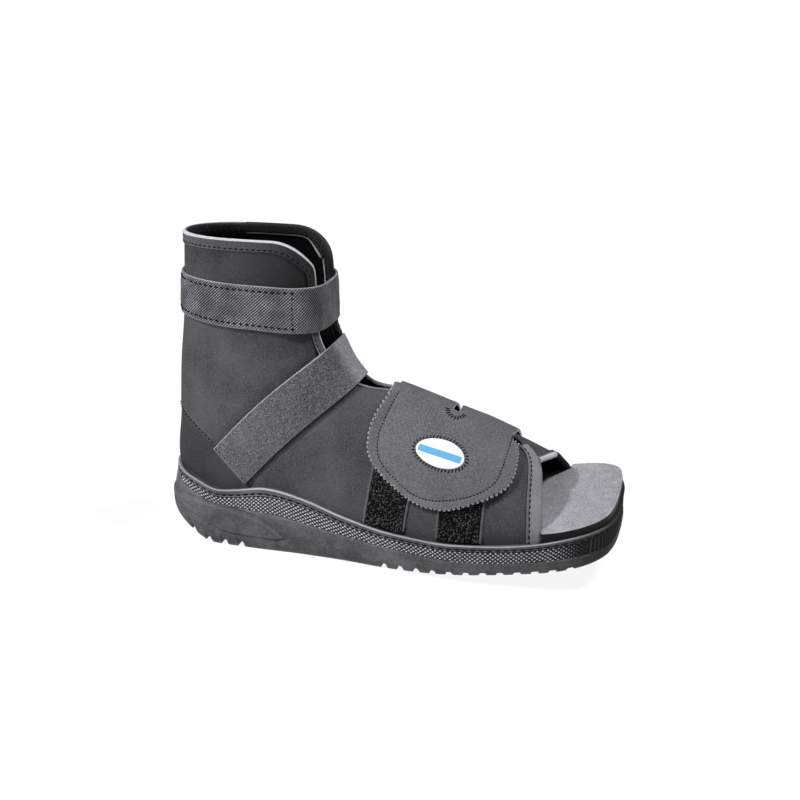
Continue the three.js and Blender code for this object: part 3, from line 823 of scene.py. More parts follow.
def cloth_piece(name, marks, faces, lift, thickness, roundness, finishes, node, weave=None, dark=()):
    """A panel on the last with its thickness. The dark rim edges, painted shade, take the finish of its inner
    face.
    """
    surface = on_last(marks, lift)
    thickness = np.broadcast_to(thickness, len(marks))
    points, solid, finish = cloth_solid(surface, last_normal(*marks.T), faces, thickness, roundness)
    for edge in dark:
        first = 2 * len(faces) + EDGE_STRIPS * edge
        finish[first : first + EDGE_STRIPS] = [1] * EDGE_STRIPS
    return make_piece(name, points, solid, finishes, [node], finish, weave)


def stitches_on(marks, lift, stitch):
    """A row of stitches along a line of marks, a lift above the last."""
    return stitch_row(on_last(marks, lift), last_normal(*marks.T), **stitch)


def make_stitches(name, rows):
    points, faces = gathered(rows)
    make_piece(name, points, faces, [DARK_THREAD])


# Shader helpers


def add(tree, kind, **settings):
    node = tree.nodes.new(kind)
    for key, value in settings.items():
        setattr(node, key, value)
    return node


def feed(tree, source, socket):
    """Links a socket, or sets it where the source is a plain value."""
    if isinstance(source, bpy.types.NodeSocket):
        tree.links.new(source, socket)
    else:
        socket.default_value = source


def maths(tree, operation, first, second=0.0):
    node = add(tree, "ShaderNodeMath", operation=operation)
    feed(tree, first, node.inputs[0])
    feed(tree, second, node.inputs[1])
    return node.outputs[0]


def mixed(tree, share, first, second):
    node = add(tree, "ShaderNodeMix", data_type="RGBA")
    feed(tree, share, node.inputs["Factor"])
    feed(tree, first, node.inputs["A"])
    feed(tree, second, node.inputs["B"])
    return node.outputs["Result"]


def ranged(tree, value, low, high, to_low=0.0, to_high=1.0):
    node = add(tree, "ShaderNodeMapRange", clamp=True)
    for socket, source in zip(node.inputs, (value, low, high, to_low, to_high)):
        feed(tree, source, socket)
    return node.outputs[0]


def noise(tree, place, scale, detail=3.0, roughness=0.6):
    node = add(tree, "ShaderNodeTexNoise")
    feed(tree, place, node.inputs["Vector"])
    feed(tree, scale, node.inputs["Scale"])
    node.inputs["Detail"].default_value = detail
    node.inputs["Roughness"].default_value = roughness
    return node.outputs["Fac"]


def object_place(tree):
    return add(tree, "ShaderNodeTexCoord").outputs["Object"]


def weave_place(tree):
    return add(tree, "ShaderNodeUVMap", uv_map="weave").outputs["UV"]


def axes_of(tree, place):
    parts = add(tree, "ShaderNodeSeparateXYZ")
    feed(tree, place, parts.inputs[0])
    return parts.outputs


def effect(name, inputs, outputs):
    """An empty shader group with named sockets. Gives the tree, its input sockets and its output node."""
    group = bpy.data.node_groups.new(name, "ShaderNodeTree")
    for label, kind, value in inputs:
        socket = group.interface.new_socket(label, in_out="INPUT", socket_type=kind)
        socket.default_value = value
    for label, kind in outputs:
        group.interface.new_socket(label, in_out="OUTPUT", socket_type=kind)
    given = group.nodes.new("NodeGroupInput").outputs
    return group, given, group.nodes.new("NodeGroupOutput")


VALUE = "NodeSocketFloat"
COLOUR = "NodeSocketColor"
GREY = (0.1, 0.1, 0.1, 1)


def fibre_effect():
    """Cloth fibres: soft patches, fine flecks, a matching roughness and a napped height."""
    tree, given, result = effect(
        "cloth_fibre",
        [
            ("Cloth", COLOUR, GREY),
            ("Deep", COLOUR, GREY),
            ("Fleck", COLOUR, GREY),
            ("Patch Scale", VALUE, 40.0),
            ("Fibre Scale", VALUE, 1200.0),
            ("Fleck Amount", VALUE, 0.3),
        ],
        [("Colour", COLOUR), ("Roughness", VALUE), ("Height", VALUE)],
    )
    place = object_place(tree)
    patch = ranged(tree, noise(tree, place, given["Patch Scale"], 4.0, 0.55), 0.35, 0.7)
    fibre = noise(tree, place, given["Fibre Scale"], 2.0, 0.7)
    fleck = ranged(tree, fibre, 0.46, 0.64)
    cloth = mixed(tree, patch, given["Deep"], given["Cloth"])
    share = maths(tree, "MULTIPLY", fleck, given["Fleck Amount"])
    feed(tree, mixed(tree, share, cloth, given["Fleck"]), result.inputs["Colour"])
    feed(tree, ranged(tree, fibre, 0.3, 0.7, 0.98, 0.78), result.inputs["Roughness"])
    feed(tree, maths(tree, "ADD", fibre, maths(tree, "MULTIPLY", patch, 0.4)), result.inputs["Height"])
    return tree


def twill_effect():
    """Diagonal cords of a woven strap, read from its own length and width in millimetres."""
    tree, given, result = effect(
        "strap_twill",
        [("Cord Pitch", VALUE, 1.2), ("Cross Pitch", VALUE, 0.8)],
        [("Cord", VALUE), ("Height", VALUE)],
    )
    place = weave_place(tree)
    length, width, _ = axes_of(tree, place)
    wander = maths(tree, "MULTIPLY", noise(tree, place, 0.6, 2.0), 0.5)
    slant = maths(tree, "ADD", maths(tree, "ADD", length, width), wander)
    counter = maths(tree, "SUBTRACT", length, maths(tree, "MULTIPLY", width, 1.3))
    waves = []
    for line, pitch in ((slant, given["Cord Pitch"]), (counter, given["Cross Pitch"])):
        turns = maths(tree, "MULTIPLY", maths(tree, "DIVIDE", line, pitch), 2 * PI)
        wave = maths(tree, "MULTIPLY", maths(tree, "SINE", turns), 0.5)
        waves.append(maths(tree, "ADD", wave, 0.5))
    broken = maths(tree, "ADD", maths(tree, "MULTIPLY", waves[1], 0.6), 0.4)
    cord = maths(tree, "MULTIPLY", waves[0], broken)
    feed(tree, cord, result.inputs["Cord"])
    feed(tree, cord, result.inputs["Height"])
    return tree


def knit_effect():
    """Small bright loops of a brushed knit over a darker ground."""
    tree, given, result = effect(
        "strap_knit",
        [("Loop Scale", VALUE, 900.0)],
        [("Loop", VALUE), ("Height", VALUE)],
    )
    place = object_place(tree)
    cells = add(tree, "ShaderNodeTexVoronoi", feature="F1")
    feed(tree, place, cells.inputs["Vector"])
    feed(tree, given["Loop Scale"], cells.inputs["Scale"])
    cells.inputs["Randomness"].default_value = 0.8
    loop = ranged(tree, cells.outputs["Distance"], 0.15, 0.6, 1.0, 0.0)
    uneven = noise(tree, place, 500.0, 3.0)
    shade = maths(tree, "MULTIPLY", loop, ranged(tree, uneven, 0.35, 0.65, 0.25, 1.0))
    feed(tree, shade, result.inputs["Loop"])
    feed(tree, maths(tree, "ADD", loop, maths(tree, "MULTIPLY", uneven, 0.5)), result.inputs["Height"])
    return tree


def rubbed_and_highlit_effect():
    """Edges that are lighter, partly rubbed wear and partly painted highlight, broken up by a noise."""
    tree, given, result = effect(
        "rubbed_and_highlit_edges",
        [("Start", VALUE, 0.53), ("Full", VALUE, 0.62), ("Break Scale", VALUE, 220.0)],
        [("Edge", VALUE)],
    )
    sharp = add(tree, "ShaderNodeNewGeometry").outputs["Pointiness"]
    place = object_place(tree)
    edge = ranged(tree, sharp, given["Start"], given["Full"])
    broken = ranged(tree, noise(tree, place, given["Break Scale"], 4.0), 0.3, 0.6, 0.45, 1.0)
    feed(tree, maths(tree, "MULTIPLY", edge, broken), result.inputs["Edge"])
    return tree


def rubber_effect():
    """Moulded rubber: a fine grain, soft bloom and a roughness that follows them."""
    tree, given, result = effect(
        "rubber_grain",
        [
            ("Rubber", COLOUR, GREY),
            ("Bloom", COLOUR, GREY),
            ("Grain Scale", VALUE, 1500.0),
            ("Bloom Scale", VALUE, 60.0),
        ],
        [("Colour", COLOUR), ("Roughness", VALUE), ("Height", VALUE)],
    )
    place = object_place(tree)
    grain = noise(tree, place, given["Grain Scale"], 3.0, 0.65)
    bloom = ranged(tree, noise(tree, place, given["Bloom Scale"], 5.0, 0.6), 0.4, 0.72)
    speckle = maths(tree, "MULTIPLY", ranged(tree, grain, 0.48, 0.7), 0.5)
    share = maths(tree, "ADD", maths(tree, "MULTIPLY", bloom, 0.5), speckle)
    feed(tree, mixed(tree, share, given["Rubber"], given["Bloom"]), result.inputs["Colour"])
    feed(tree, ranged(tree, grain, 0.3, 0.7, 0.5, 0.72), result.inputs["Roughness"])
    feed(tree, grain, result.inputs["Height"])
    return tree


FIBRE = fibre_effect()
TWILL = twill_effect()
KNIT = knit_effect()
RUBBED_AND_HIGHLIT = rubbed_and_highlit_effect()
RUBBER = rubber_effect()


def placed(tree, group, **values):
    """A shader group placed in a material with its own values."""
    node = add(tree, "ShaderNodeGroup", node_tree=group)
    for key, value in values.items():
        node.inputs[key.replace("_", " ")].default_value = value
    return node.outputs


def grey(value, warm=1.0):
    return (value * warm, value, value * 1.08, 1)


def colour_of(shade):
    """A colour from a plain grey value, or the colour itself."""
    return shade if isinstance(shade, tuple) else grey(shade)


def bare_finish(name, bump, depth, specular, sheen=0.0):
    """A material with its shader and bump in place. Gives the material, tree, shader and bump node."""
    material = bpy.data.materials.new(name)
    material.use_nodes = True
    tree = material.node_tree
    shader = tree.nodes["Principled BSDF"]
    shader.inputs["Specular IOR Level"].default_value = specular
    shader.inputs["Sheen Weight"].default_value = sheen
    shader.inputs["Sheen Roughness"].default_value = 0.5
    relief = add(tree, "ShaderNodeBump")
    relief.inputs["Strength"].default_value = bump
    relief.inputs["Distance"].default_value = depth * MM
    tree.links.new(relief.outputs["Normal"], shader.inputs["Normal"])
    return material, tree, shader, relief


def finished(bare, colour, roughness, height):
    """Links what varies over the surface to a bare finish, and gives its material."""
    material, tree, shader, relief = bare
    feed(tree, colour, shader.inputs["Base Color"])
    feed(tree, roughness, shader.inputs["Roughness"])
    feed(tree, height, relief.inputs["Height"])
    return material


def fibres(tree, cloth, deep, fleck, amount, fibre, patch):
    shades = {"Cloth": colour_of(cloth), "Deep": colour_of(deep), "Fleck": colour_of(fleck)}
    return placed(tree, FIBRE, **shades, Patch_Scale=patch, Fibre_Scale=fibre, Fleck_Amount=amount)


def rubbed_and_highlit(tree, colour, pale, values):
    """The colour with its edges paler, partly rubbed wear and partly painted highlight."""
    return mixed(tree, placed(tree, RUBBED_AND_HIGHLIT, **values)["Edge"], colour, colour_of(pale))


def painted_throat_shade(tree, colour):
    """Painted shade: darker cloth towards the front of the shaft and higher up."""
    x, _, z = axes_of(tree, object_place(tree))
    forward = ranged(tree, x, *THROAT_PAINTED_SHADE_X, 0.0, THROAT_PAINTED_SHADE_MOST)
    share = maths(tree, "MULTIPLY", forward, ranged(tree, z, *THROAT_PAINTED_SHADE_Z))
    return mixed(tree, share, colour, grey(THROAT_PAINTED_SHADE))


def cloth_finish(
    name, cloth, deep, fleck, amount, fibre, patch=45.0, bump=0.5, depth=0.25, rub_and_highlight=None, throat=False
):
    bare = bare_finish(name, bump, depth, CLOTH_SHINE)
    tree = bare[1]
    looks = fibres(tree, cloth, deep, fleck, amount, fibre, patch)
    colour = looks["Colour"]
    if rub_and_highlight is not None:
        colour = rubbed_and_highlit(tree, colour, rub_and_highlight, CLOTH_RUB_AND_HIGHLIGHT)
    # Painted shade in the throat
    if throat:
        colour = painted_throat_shade(tree, colour)
    return finished(bare, colour, looks["Roughness"], looks["Height"])


def twill_finish(name, cord, ground):
    bare = bare_finish(name, 0.9, 0.35, CLOTH_SHINE)
    tree = bare[1]
    weave = placed(tree, TWILL, Cord_Pitch=1.9, Cross_Pitch=2.6)
    looks = fibres(tree, cord, 0.11, 0.2, 0.35, 1500.0, 70.0)
    colour = mixed(tree, weave["Cord"], grey(ground), looks["Colour"])
    colour = rubbed_and_highlit(tree, colour, 0.2, {"Start": 0.52, "Full": 0.62})
    height = maths(tree, "ADD", weave["Height"], maths(tree, "MULTIPLY", looks["Height"], 0.3))
    return finished(bare, colour, looks["Roughness"], height)


def knit_finish(name, loop, ground):
    """Knitted webbing, with a painted highlight where it folds over the instep."""
    bare = bare_finish(name, 0.8, 0.4, CLOTH_SHINE)
    tree = bare[1]
    knit = placed(tree, KNIT, Loop_Scale=1250.0)
    looks = fibres(tree, ground, 0.03, loop, 0.3, 900.0, 60.0)
    colour = mixed(tree, knit["Loop"], looks["Colour"], grey(loop))
    # Painted highlight on the strap where it turns over the ridge
    worn = ranged(tree, axes_of(tree, object_place(tree))["Y"], *STRAP_FOLD_HIGHLIGHT_Y, 0.0, 0.8)
    pale = mixed(tree, knit["Loop"], grey(0.15), grey(0.46))
    colour = rubbed_and_highlit(tree, mixed(tree, worn, colour, pale), 0.2, CLOTH_RUB_AND_HIGHLIGHT)
    return finished(bare, colour, looks["Roughness"], knit["Height"])


def painted_toe_shade(tree, colour):
    """Painted shade: darker rubber towards the tip of the toe."""
    x = axes_of(tree, object_place(tree))["X"]
    share = ranged(tree, x, TOE_PAINTED_SHADE_SPAN[0] * MM, TOE_PAINTED_SHADE_SPAN[1] * MM)
    return mixed(tree, share, colour, grey(TOE_PAINTED_SHADE))


def rubber_looks(tree, rubber, bloom):
    return placed(tree, RUBBER, Rubber=grey(rubber), Bloom=grey(bloom), Grain_Scale=1400.0, Bloom_Scale=55.0)


def rubber_finish(name, rubber, bloom, rub_and_highlight, bump=0.35):
    bare = bare_finish(name, bump, 0.15, RUBBER_SHINE)
    tree = bare[1]
    looks = rubber_looks(tree, rubber, bloom)
    colour = rubbed_and_highlit(tree, looks["Colour"], rub_and_highlight, {"Start": 0.515, "Full": 0.6, "Break_Scale": 300.0})
    return finished(bare, painted_toe_shade(tree, colour), looks["Roughness"], looks["Height"])


def knurl_finish(name, valley, peak_wear_and_highlight):
    """Knurled rubber: dark between the points as painted shade, and light on them, partly rubbed wear and
    partly painted highlight.
    """
    bare = bare_finish(name, 0.4, 0.1, RUBBER_SHINE)
    tree = bare[1]
    looks = rubber_looks(tree, valley, 0.035)
    point = ranged(tree, axes_of(tree, weave_place(tree))["X"], 0.25, 0.85)
    colour = mixed(tree, point, looks["Colour"], grey(peak_wear_and_highlight))
    return finished(bare, painted_toe_shade(tree, colour), looks["Roughness"], looks["Height"])


def badge_finish(name, white, stripe):
    """White woven patch with one plain stripe along its middle."""
    bare = bare_finish(name, 0.4, 0.15, 0.3, 0.1)
    tree = bare[1]
    looks = fibres(tree, white, (0.52, 0.53, 0.55, 1), (0.66, 0.66, 0.67, 1), 0.4, 1600.0, 90.0)
    weave = placed(tree, TWILL, Cord_Pitch=0.5, Cross_Pitch=0.5)
    from_middle = maths(tree, "ABSOLUTE", axes_of(tree, weave_place(tree))["Y"])
    colour = mixed(tree, ranged(tree, from_middle, 1.5, 1.8, 1.0, 0.0), looks["Colour"], stripe)
    height = maths(tree, "ADD", weave["Height"], looks["Height"])
    return finished(bare, colour, looks["Roughness"], height)


# Finishes: cloth, deep and fleck shades, amount of flecks and fibre scale
# The quarter cloth and the binding tape carry painted shade in the throat
QUARTER_CLOTH = cloth_finish("quarter_cloth", 0.043, 0.0235, 0.08, 0.55, 1700.0, bump=0.8, throat=True)
LINING_CLOTH = cloth_finish("lining_cloth", 0.004, 0.003, 0.008, 0.3, 900.0)
HEEL_CLOTH = cloth_finish("heel_cloth", grey(0.026, 1.05), grey(0.018, 1.05), 0.055, 0.5, 1900.0)
BINDING_TAPE = cloth_finish(
    "binding_tape", 0.07, 0.045, 0.15, 0.5, 1700.0, bump=0.8, rub_and_highlight=0.16, throat=True
)
# Paler and darker copies of the binding tape for its lit and shaded strips: a painted highlight, painted
# shade and a painted highlight on its folds
BINDING_PALE_HIGHLIGHT = cloth_finish("binding_pale_highlight", 0.15, 0.1, 0.22, 0.5, 1700.0, bump=0.8)
BINDING_PAINTED_SHADE = cloth_finish("binding_painted_shade", 0.022, 0.012, 0.05, 0.5, 1200.0)
BINDING_FOLD_HIGHLIGHT = cloth_finish("binding_fold_highlight", 0.36, 0.28, 0.48, 0.5, 1800.0)
STRAP_TWILL = twill_finish("strap_twill", 0.3, 0.012)
STRAP_KNIT = knit_finish("strap_knit", 0.17, 0.05)
STRAP_EDGE = cloth_finish("strap_edge", 0.17, 0.12, 0.24, 0.4, 1500.0)
FLAP_FELT = cloth_finish("flap_felt", 0.068, 0.049, 0.15, 0.6, 1500.0, bump=0.8, depth=0.3, rub_and_highlight=0.26)
# Pale cut edge of the felt, a painted highlight on the teeth
FLAP_CUT_EDGE_HIGHLIGHT = cloth_finish("flap_cut_edge_highlight", 0.36, 0.26, 0.46, 0.5, 1500.0)
LOOP_PILE = cloth_finish("loop_pile", 0.004, 0.002, 0.02, 0.6, 700.0, patch=300.0)
LOOP_WORN = cloth_finish("loop_worn", (0.16, 0.155, 0.135, 1), 0.03, 0.2, 0.6, 700.0, patch=500.0)
SELVAGE_TAPE = cloth_finish("loop_selvage", 0.08, 0.045, 0.13, 0.4, 1500.0)
DARK_THREAD = cloth_finish("dark_thread", 0.003, 0.002, 0.007, 0.3, 3000.0, patch=400.0)
INSOLE_FELT = cloth_finish("insole_felt", 0.23, 0.17, 0.38, 0.5, 900.0, patch=110.0, depth=0.3)
INSOLE_FOAM = rubber_finish("insole_foam", 0.004, 0.009, 0.014)
SOLE_RUBBER = rubber_finish("sole_rubber", 0.03, 0.12, 0.2, bump=0.8)
SOLE_KNURL = knurl_finish("sole_knurl", 0.006, 0.44)
# Rim bead: its paler edges are partly rubbed wear and partly painted highlight
SOLE_RIM = rubber_finish("sole_rim", 0.14, 0.24, 0.36, bump=0.6)
BADGE_CLOTH = badge_finish("badge_cloth", (0.6, 0.61, 0.63, 1), (0.07, 0.24, 0.42, 1))
BADGE_EDGE = cloth_finish(
    "badge_edging", (0.56, 0.57, 0.59, 1), (0.48, 0.5, 0.52, 1), (0.62, 0.62, 0.63, 1), 0.3, 1800.0
)


# Sole


def tread_height(x):
    heel = np.maximum(ARCH_FLAT[0] - x, 0) * HEEL_BEVEL_SLOPE
    run = np.maximum(x - ARCH_FLAT[1], 0)
    bend = TOE_SPRING_RADIUS * TOE_SPRING_SLOPE
    toe = np.minimum(run, bend) ** 2 / (2 * TOE_SPRING_RADIUS)
    return heel + toe + np.maximum(run - bend, 0) * TOE_SPRING_SLOPE


def groove_lift(x):
    lift = np.zeros_like(x)
    for centre in HEEL_GROOVES + FORE_GROOVES:
        open_share = (GROOVE_HALF_MOUTH - np.abs(x - centre)) / (GROOVE_HALF_MOUTH - GROOVE_HALF_ROOT)
        lift = np.maximum(lift, GROOVE_DEPTH * np.clip(open_share, 0, 1))
    return lift


class SoleOutline:
    """The sole seen from above: the near side from heel to toe, then the far side back."""

    def __init__(self):
        near = smooth_curve([HEEL_TIP, *((x, -half) for x, half, _ in SOLE_PLAN), TOE_TIP], 0.1)
        far = smooth_curve([HEEL_TIP, *((x, half) for x, _, half in SOLE_PLAN), TOE_TIP], 0.1)
        near[:, 0] = np.maximum.accumulate(near[:, 0])
        far[:, 0] = np.maximum.accumulate(far[:, 0])
        side = spaced(near, SOLE_STATION_STEP)
        back = np.interp(side[1:-1, 0], far[:, 0], far[:, 1])
        self.stations = len(side)
        other = np.column_stack([side[1:-1, 0], back])[::-1]
        self.ring = np.vstack([side, other])
        self.run = unit(np.roll(self.ring, -1, axis=0) - np.roll(self.ring, 1, axis=0))
        self.inward = np.column_stack([-self.run[:, 1], self.run[:, 0]])
        self.x = self.ring[:, 0]

    def level(self, height, inset):
        inset = np.broadcast_to(inset, len(self.ring))
        flat = self.ring + self.inward * inset[:, None]
        return np.column_stack([flat, np.broadcast_to(height, len(self.ring))])

    def partner(self, index):
        """The ring place across from a near side station."""
        if index in (0, self.stations - 1):
            return index
        return len(self.ring) - index

    def walls(self, levels):
        return ring_walls(levels, len(self.ring))

    def cap(self, shift):
        """Strips across a level, from side to side."""
        faces = []
        for index in range(self.stations - 1):
            corners = [index, index + 1, self.partner(index + 1), self.partner(index)]
            kept = list(dict.fromkeys(corners))
            faces.append(tuple(shift + corner for corner in kept))
        return faces


OUTLINE = SoleOutline()


def heel_extra(x, share):
    """Extra inset of the heel wall, which leans in towards the rim."""
    rest = 1 - HEEL_LEAN_START
    upper = np.clip((share - HEEL_LEAN_START) / rest, 0, 1)
    lower = np.clip(share / HEEL_LEAN_START, 0, 1)
    tuck = HEEL_TUCK * step_up(-x, *HEEL_TUCK_SPAN) * (HEEL_LEAN_START * lower + rest * upper)
    return HEEL_LEAN * step_up(-x, *HEEL_LEAN_SPAN) * upper**0.7 + tuck


def rim_edge(x):
    return np.interp(x, *np.array(RIM_EDGE).T)


def band_bottom(x):
    foot = tread_height(x)
    return foot + band_low(x)[..., 0] * (rim_height(x) - foot)


def wall_share(x, height):
    """Share of the way up the wall, from the ground edge to the rim."""
    foot = tread_height(x)
    return (height - foot) / (rim_height(x) - foot)


def make_sole():
    x = OUTLINE.x
    foot = tread_height(x)
    cut_foot = foot + groove_lift(x)
    rim = rim_height(x)
    low = band_bottom(x)
    scale = rim_edge(x)
    high = rim - BAND_TOP_DROP * scale
    levels = []

    def put(height, inset):
        levels.append(OUTLINE.level(height, inset + heel_extra(x, wall_share(x, height))))

    pad_low, pad_high = heel_pad(x).T
    cut_shares = [share for share, _ in LOWER_WALL if share < LOWEST_WHOLE]
    for share in np.concatenate([cut_shares, np.linspace(LOWEST_WHOLE, 1, LOWER_LEVELS)]):
        inset = lower_wall(share)[0]
        height = foot + share * (low - foot)
        firm = foot + LOWEST_WHOLE * (low - foot)
        cut = cut_foot + share / LOWEST_WHOLE * (firm - cut_foot)
        height = np.where(share < LOWEST_WHOLE, cut, height)
        inside = np.minimum(height - pad_low, pad_high - height)
        raised = HEEL_PAD_RELIEF * step_up(inside, -HEEL_PAD_EDGE, HEEL_PAD_EDGE)
        line = HEEL_PAD_LINE * np.exp(-((inside + HEEL_PAD_LINE_OFFSET) ** 2))
        put(height, inset - raised + line)
    put(low + BAND_FOOT_STEP, BAND_INSET)
    put(high - BAND_HEAD_STEP, BAND_INSET)
    for drop, inset in UPPER_WALL:
        put(rim - drop * scale, inset)
    ledge = np.interp(x, *np.array(LEDGE).T)
    put(rim - BEAD_BACK[0], BEAD_BACK[1])
    for drop, inset in CUP_WALL:
        put(rim - drop, ledge + inset)
    points = np.vstack(levels)
    last_level = (len(levels) - 1) * len(x)
    faces = OUTLINE.walls(len(levels))
    finish = [0] * len(faces)
    inner_levels = 1 + len(CUP_WALL)
    rim_first = (len(levels) - inner_levels - RIM_EDGE_LEVELS) * len(x)
    finish[rim_first : rim_first + RIM_EDGE_LEVELS * len(x)] = [1] * (RIM_EDGE_LEVELS * len(x))
    caps = [tuple(reversed(face)) for face in OUTLINE.cap(0)] + OUTLINE.cap(last_level)
    finish += [0] * len(caps)
    finishes = [SOLE_RUBBER, SOLE_RIM]
    faces = faces + caps
    make_piece("sole_body", points, faces, finishes, ["sole_unit"], finish, crease_deg=38)


def ring_at(run):
    """Outline places and inward directions at lengths along the ring."""
    ring = np.vstack([OUTLINE.ring, OUTLINE.ring[:1]])
    own = run_along(ring)
    inward = np.vstack([OUTLINE.inward, OUTLINE.inward[:1]])
    return read_at(run, own, ring), unit(read_at(run, own, inward))


def ring_length():
    return np.linalg.norm(OUTLINE.ring - np.roll(OUTLINE.ring, 1, axis=0), axis=1).sum()


def make_sole_band():
    """Pyramid knurling on the side band, turning into upright ribs round the toe and the heel."""
    count = 2 * int(round(ring_length() / KNURL_PITCH))
    place, inward = ring_at(np.arange(count) * ring_length() / count)
    x = place[:, 0]
    top = rim_height(x) - BAND_TOP_DROP * rim_edge(x) - BAND_SEAT
    bottom = band_bottom(x) + BAND_SEAT
    rows = int(np.ceil((top - bottom).max() / (KNURL_ROW / 2))) + 1
    ribbed = (x > RIB_START_TOE) | (x < RIB_START_HEEL)
    dull = 1 - KNURL_TOE_DULL * step_up(x, KNURL_TOE_DULL_START, RIB_START_TOE)
    dull = dull * np.where(x < RIB_START_HEEL, KNURL_HEEL_DULL, 1)
    points = []
    free = []
    peaks = []
    for row in range(rows):
        height = top - row * KNURL_ROW / 2
        free.append(height > bottom)
        height = np.maximum(height, bottom)
        odd = (np.arange(count) + row) % 2
        odd = np.where(ribbed, np.arange(count) % 2, odd)
        rise = KNURL_HEIGHT * odd * free[-1] * (row > 0)
        # Share of each point's paler colour, partly wear and partly painted highlight, carried in the weave
        # map
        peaks.append(np.column_stack([rise / KNURL_HEIGHT * dull, height]))
        inset = BAND_INSET - BAND_SEAT - rise + KNURL_FOOT_TUCK * ~free[-1]
        inset = inset + heel_extra(x, wall_share(x, height))
        points.append(np.column_stack([place + inward * inset[:, None], height]))
    faces = []
    for row in range(rows - 1):
        for column in range(count):
            beside = (column + 1) % count
            if not (free[row][column] or free[row][beside]):
                continue
            corners = [row * count + column, (row + 1) * count + column]
            corners += [(row + 1) * count + beside, row * count + beside]
            if (row + column) % 2:
                corners = corners[1:] + corners[:1]
            faces.append((corners[0], corners[1], corners[2]))
            faces.append((corners[0], corners[2], corners[3]))
    weave = np.vstack(peaks)
    points = np.vstack(points)
    make_piece("sole_side_band", points, faces, [SOLE_KNURL], weave=weave, crease_deg=15)


def make_sole_stitches():
    run = np.linspace(0, ring_length(), 1200)
    place, inward = ring_at(run)
    x = place[:, 0]
    height = rim_height(x) - SOLE_STITCH_DROP * rim_edge(x)
    inset = SOLE_STITCH_INSET + heel_extra(x, wall_share(x, height))
    line = np.column_stack([place + inward * inset[:, None], height])
    out = np.column_stack([-inward, np.zeros(len(run))])
    make_stitches("sole_stitches", [stitch_row(line, out, **SOLE_STITCH)])


def make_insole():
    x = OUTLINE.x
    shift = np.where(OUTLINE.ring[:, 1] > 0, INSOLE_FAR_SHIFT, 0)
    inset = np.interp(x - shift, *np.array(INSOLE_INSET).T)
    far_share = OUTLINE.ring[:, 1] / 100 + 0.5
    bare = step_up(x, *INSOLE_BARE)
    tilt = INSOLE_TILT_NEAR + (INSOLE_TILT_FAR - INSOLE_TILT_NEAR) * far_share
    top = insole_top(x) + tilt * bare
    bottom = floor_height(x) + GAP
    levels = [OUTLINE.level(bottom + rise, inset + extra) for rise, extra in INSOLE_FOOT]
    levels += [OUTLINE.level(top - drop, inset + extra) for drop, extra in INSOLE_SHOULDER]
    points = np.vstack(levels)
    faces = OUTLINE.walls(len(levels))
    felt = INSOLE_FELT_LEVELS * len(x)
    finish = [0] * (len(faces) - felt) + [1] * felt
    base = [tuple(reversed(face)) for face in OUTLINE.cap(0)]
    finish += [0] * len(base)
    rim_level = (len(levels) - 1) * len(x)
    final = OUTLINE.stations - 1
    share = np.linspace(0, 1, INSOLE_COLUMNS)[:, None]
    middle = 4 * share[:, 0] * (1 - share[:, 0])
    grid = []
    for index in [*range(0, final, INSOLE_EVERY), final]:
        near = points[rim_level + index]
        far = points[rim_level + OUTLINE.partner(index)]
        line = near + (far - near) * share
        along, across = line[:, 0], line[:, 1]
        dish = step_up(-along, *INSOLE_DISH_SPAN) * INSOLE_DISH + INSOLE_DISH_LEAST
        waves = np.sin(along / 9.0 + across / 6.0) * np.sin(across / 8.0 - along / 14.0)
        line[:, 2] += middle * (INSOLE_WAVE * waves - dish)
        grid.append(line)
    top_points = np.vstack(grid)
    top_faces = sheet_faces(len(grid), INSOLE_COLUMNS, len(points))
    finish += [1] * len(top_faces)
    faces = faces + base + top_faces
    pad = make_piece(
        "insole_pad", np.vstack([points, top_points]), faces, [INSOLE_FOAM, INSOLE_FELT],
        ["insole"], finish,
    )


# Upper


def edge_inside(points, toe):
    """How far inside the collar, its rounded corner and the toe edge a point lies."""
    x, z = points[:, 0], points[:, 2]
    centre_z = COLLAR_HEIGHT - COLLAR_CORNER_RADIUS
    corner = COLLAR_CORNER_RADIUS - np.hypot(x - COLLAR_CORNER_X, z - centre_z)
    throat = COLLAR_CORNER_X + COLLAR_CORNER_RADIUS - x
    upper = np.where(x < COLLAR_CORNER_X, COLLAR_HEIGHT - z, np.where(z > centre_z, corner, throat))
    return np.where(z > SHAFT_FOOT, upper, toe(points[:, 1])[..., 0] - x)


def near_edge_inside(points):
    return edge_inside(points, near_toe_edge)


def far_edge_inside(points):
    return edge_inside(points, far_toe_edge)


def front_inside(points):
    half = front_opening(points[:, 0])[..., 0]
    ends = (points[:, 0] < FRONT_OPENING[0][0] + 2) | (points[:, 0] > FRONT_OPENING[-1][0])
    return np.where(ends, OUT_OF_REACH, np.abs(points[:, 1]) - half)


SEAM_LINE = smooth_curve(HEEL_SEAM, 1.0)


def seam_height(x):
    return np.interp(x, SEAM_LINE[:, 0], SEAM_LINE[:, 1])


def heel_inside(points):
    """How far below the heel seam a point lies, measured square to the seam."""
    slope = np.gradient(SEAM_LINE[:, 1], SEAM_LINE[:, 0])
    lean = np.interp(points[:, 0], SEAM_LINE[:, 0], slope)
    return (seam_height(points[:, 0]) - points[:, 2]) / np.sqrt(1 + lean**2)


def floor_inside(points):
    return points[:, 2] - floor_height(points[:, 0]) - FLOOR_GAP


def far_part_inside(points):
    """The far quarter ends at the ridge, and laps to the near side past the near quarter's front edge."""
    past = points[:, 0] - near_toe_edge(points[:, 1])[..., 0] - TOE_LAP
    return np.maximum(points[:, 1], past)


def quarter_cut(points):
    return -heel_inside(points) - GAP / 2


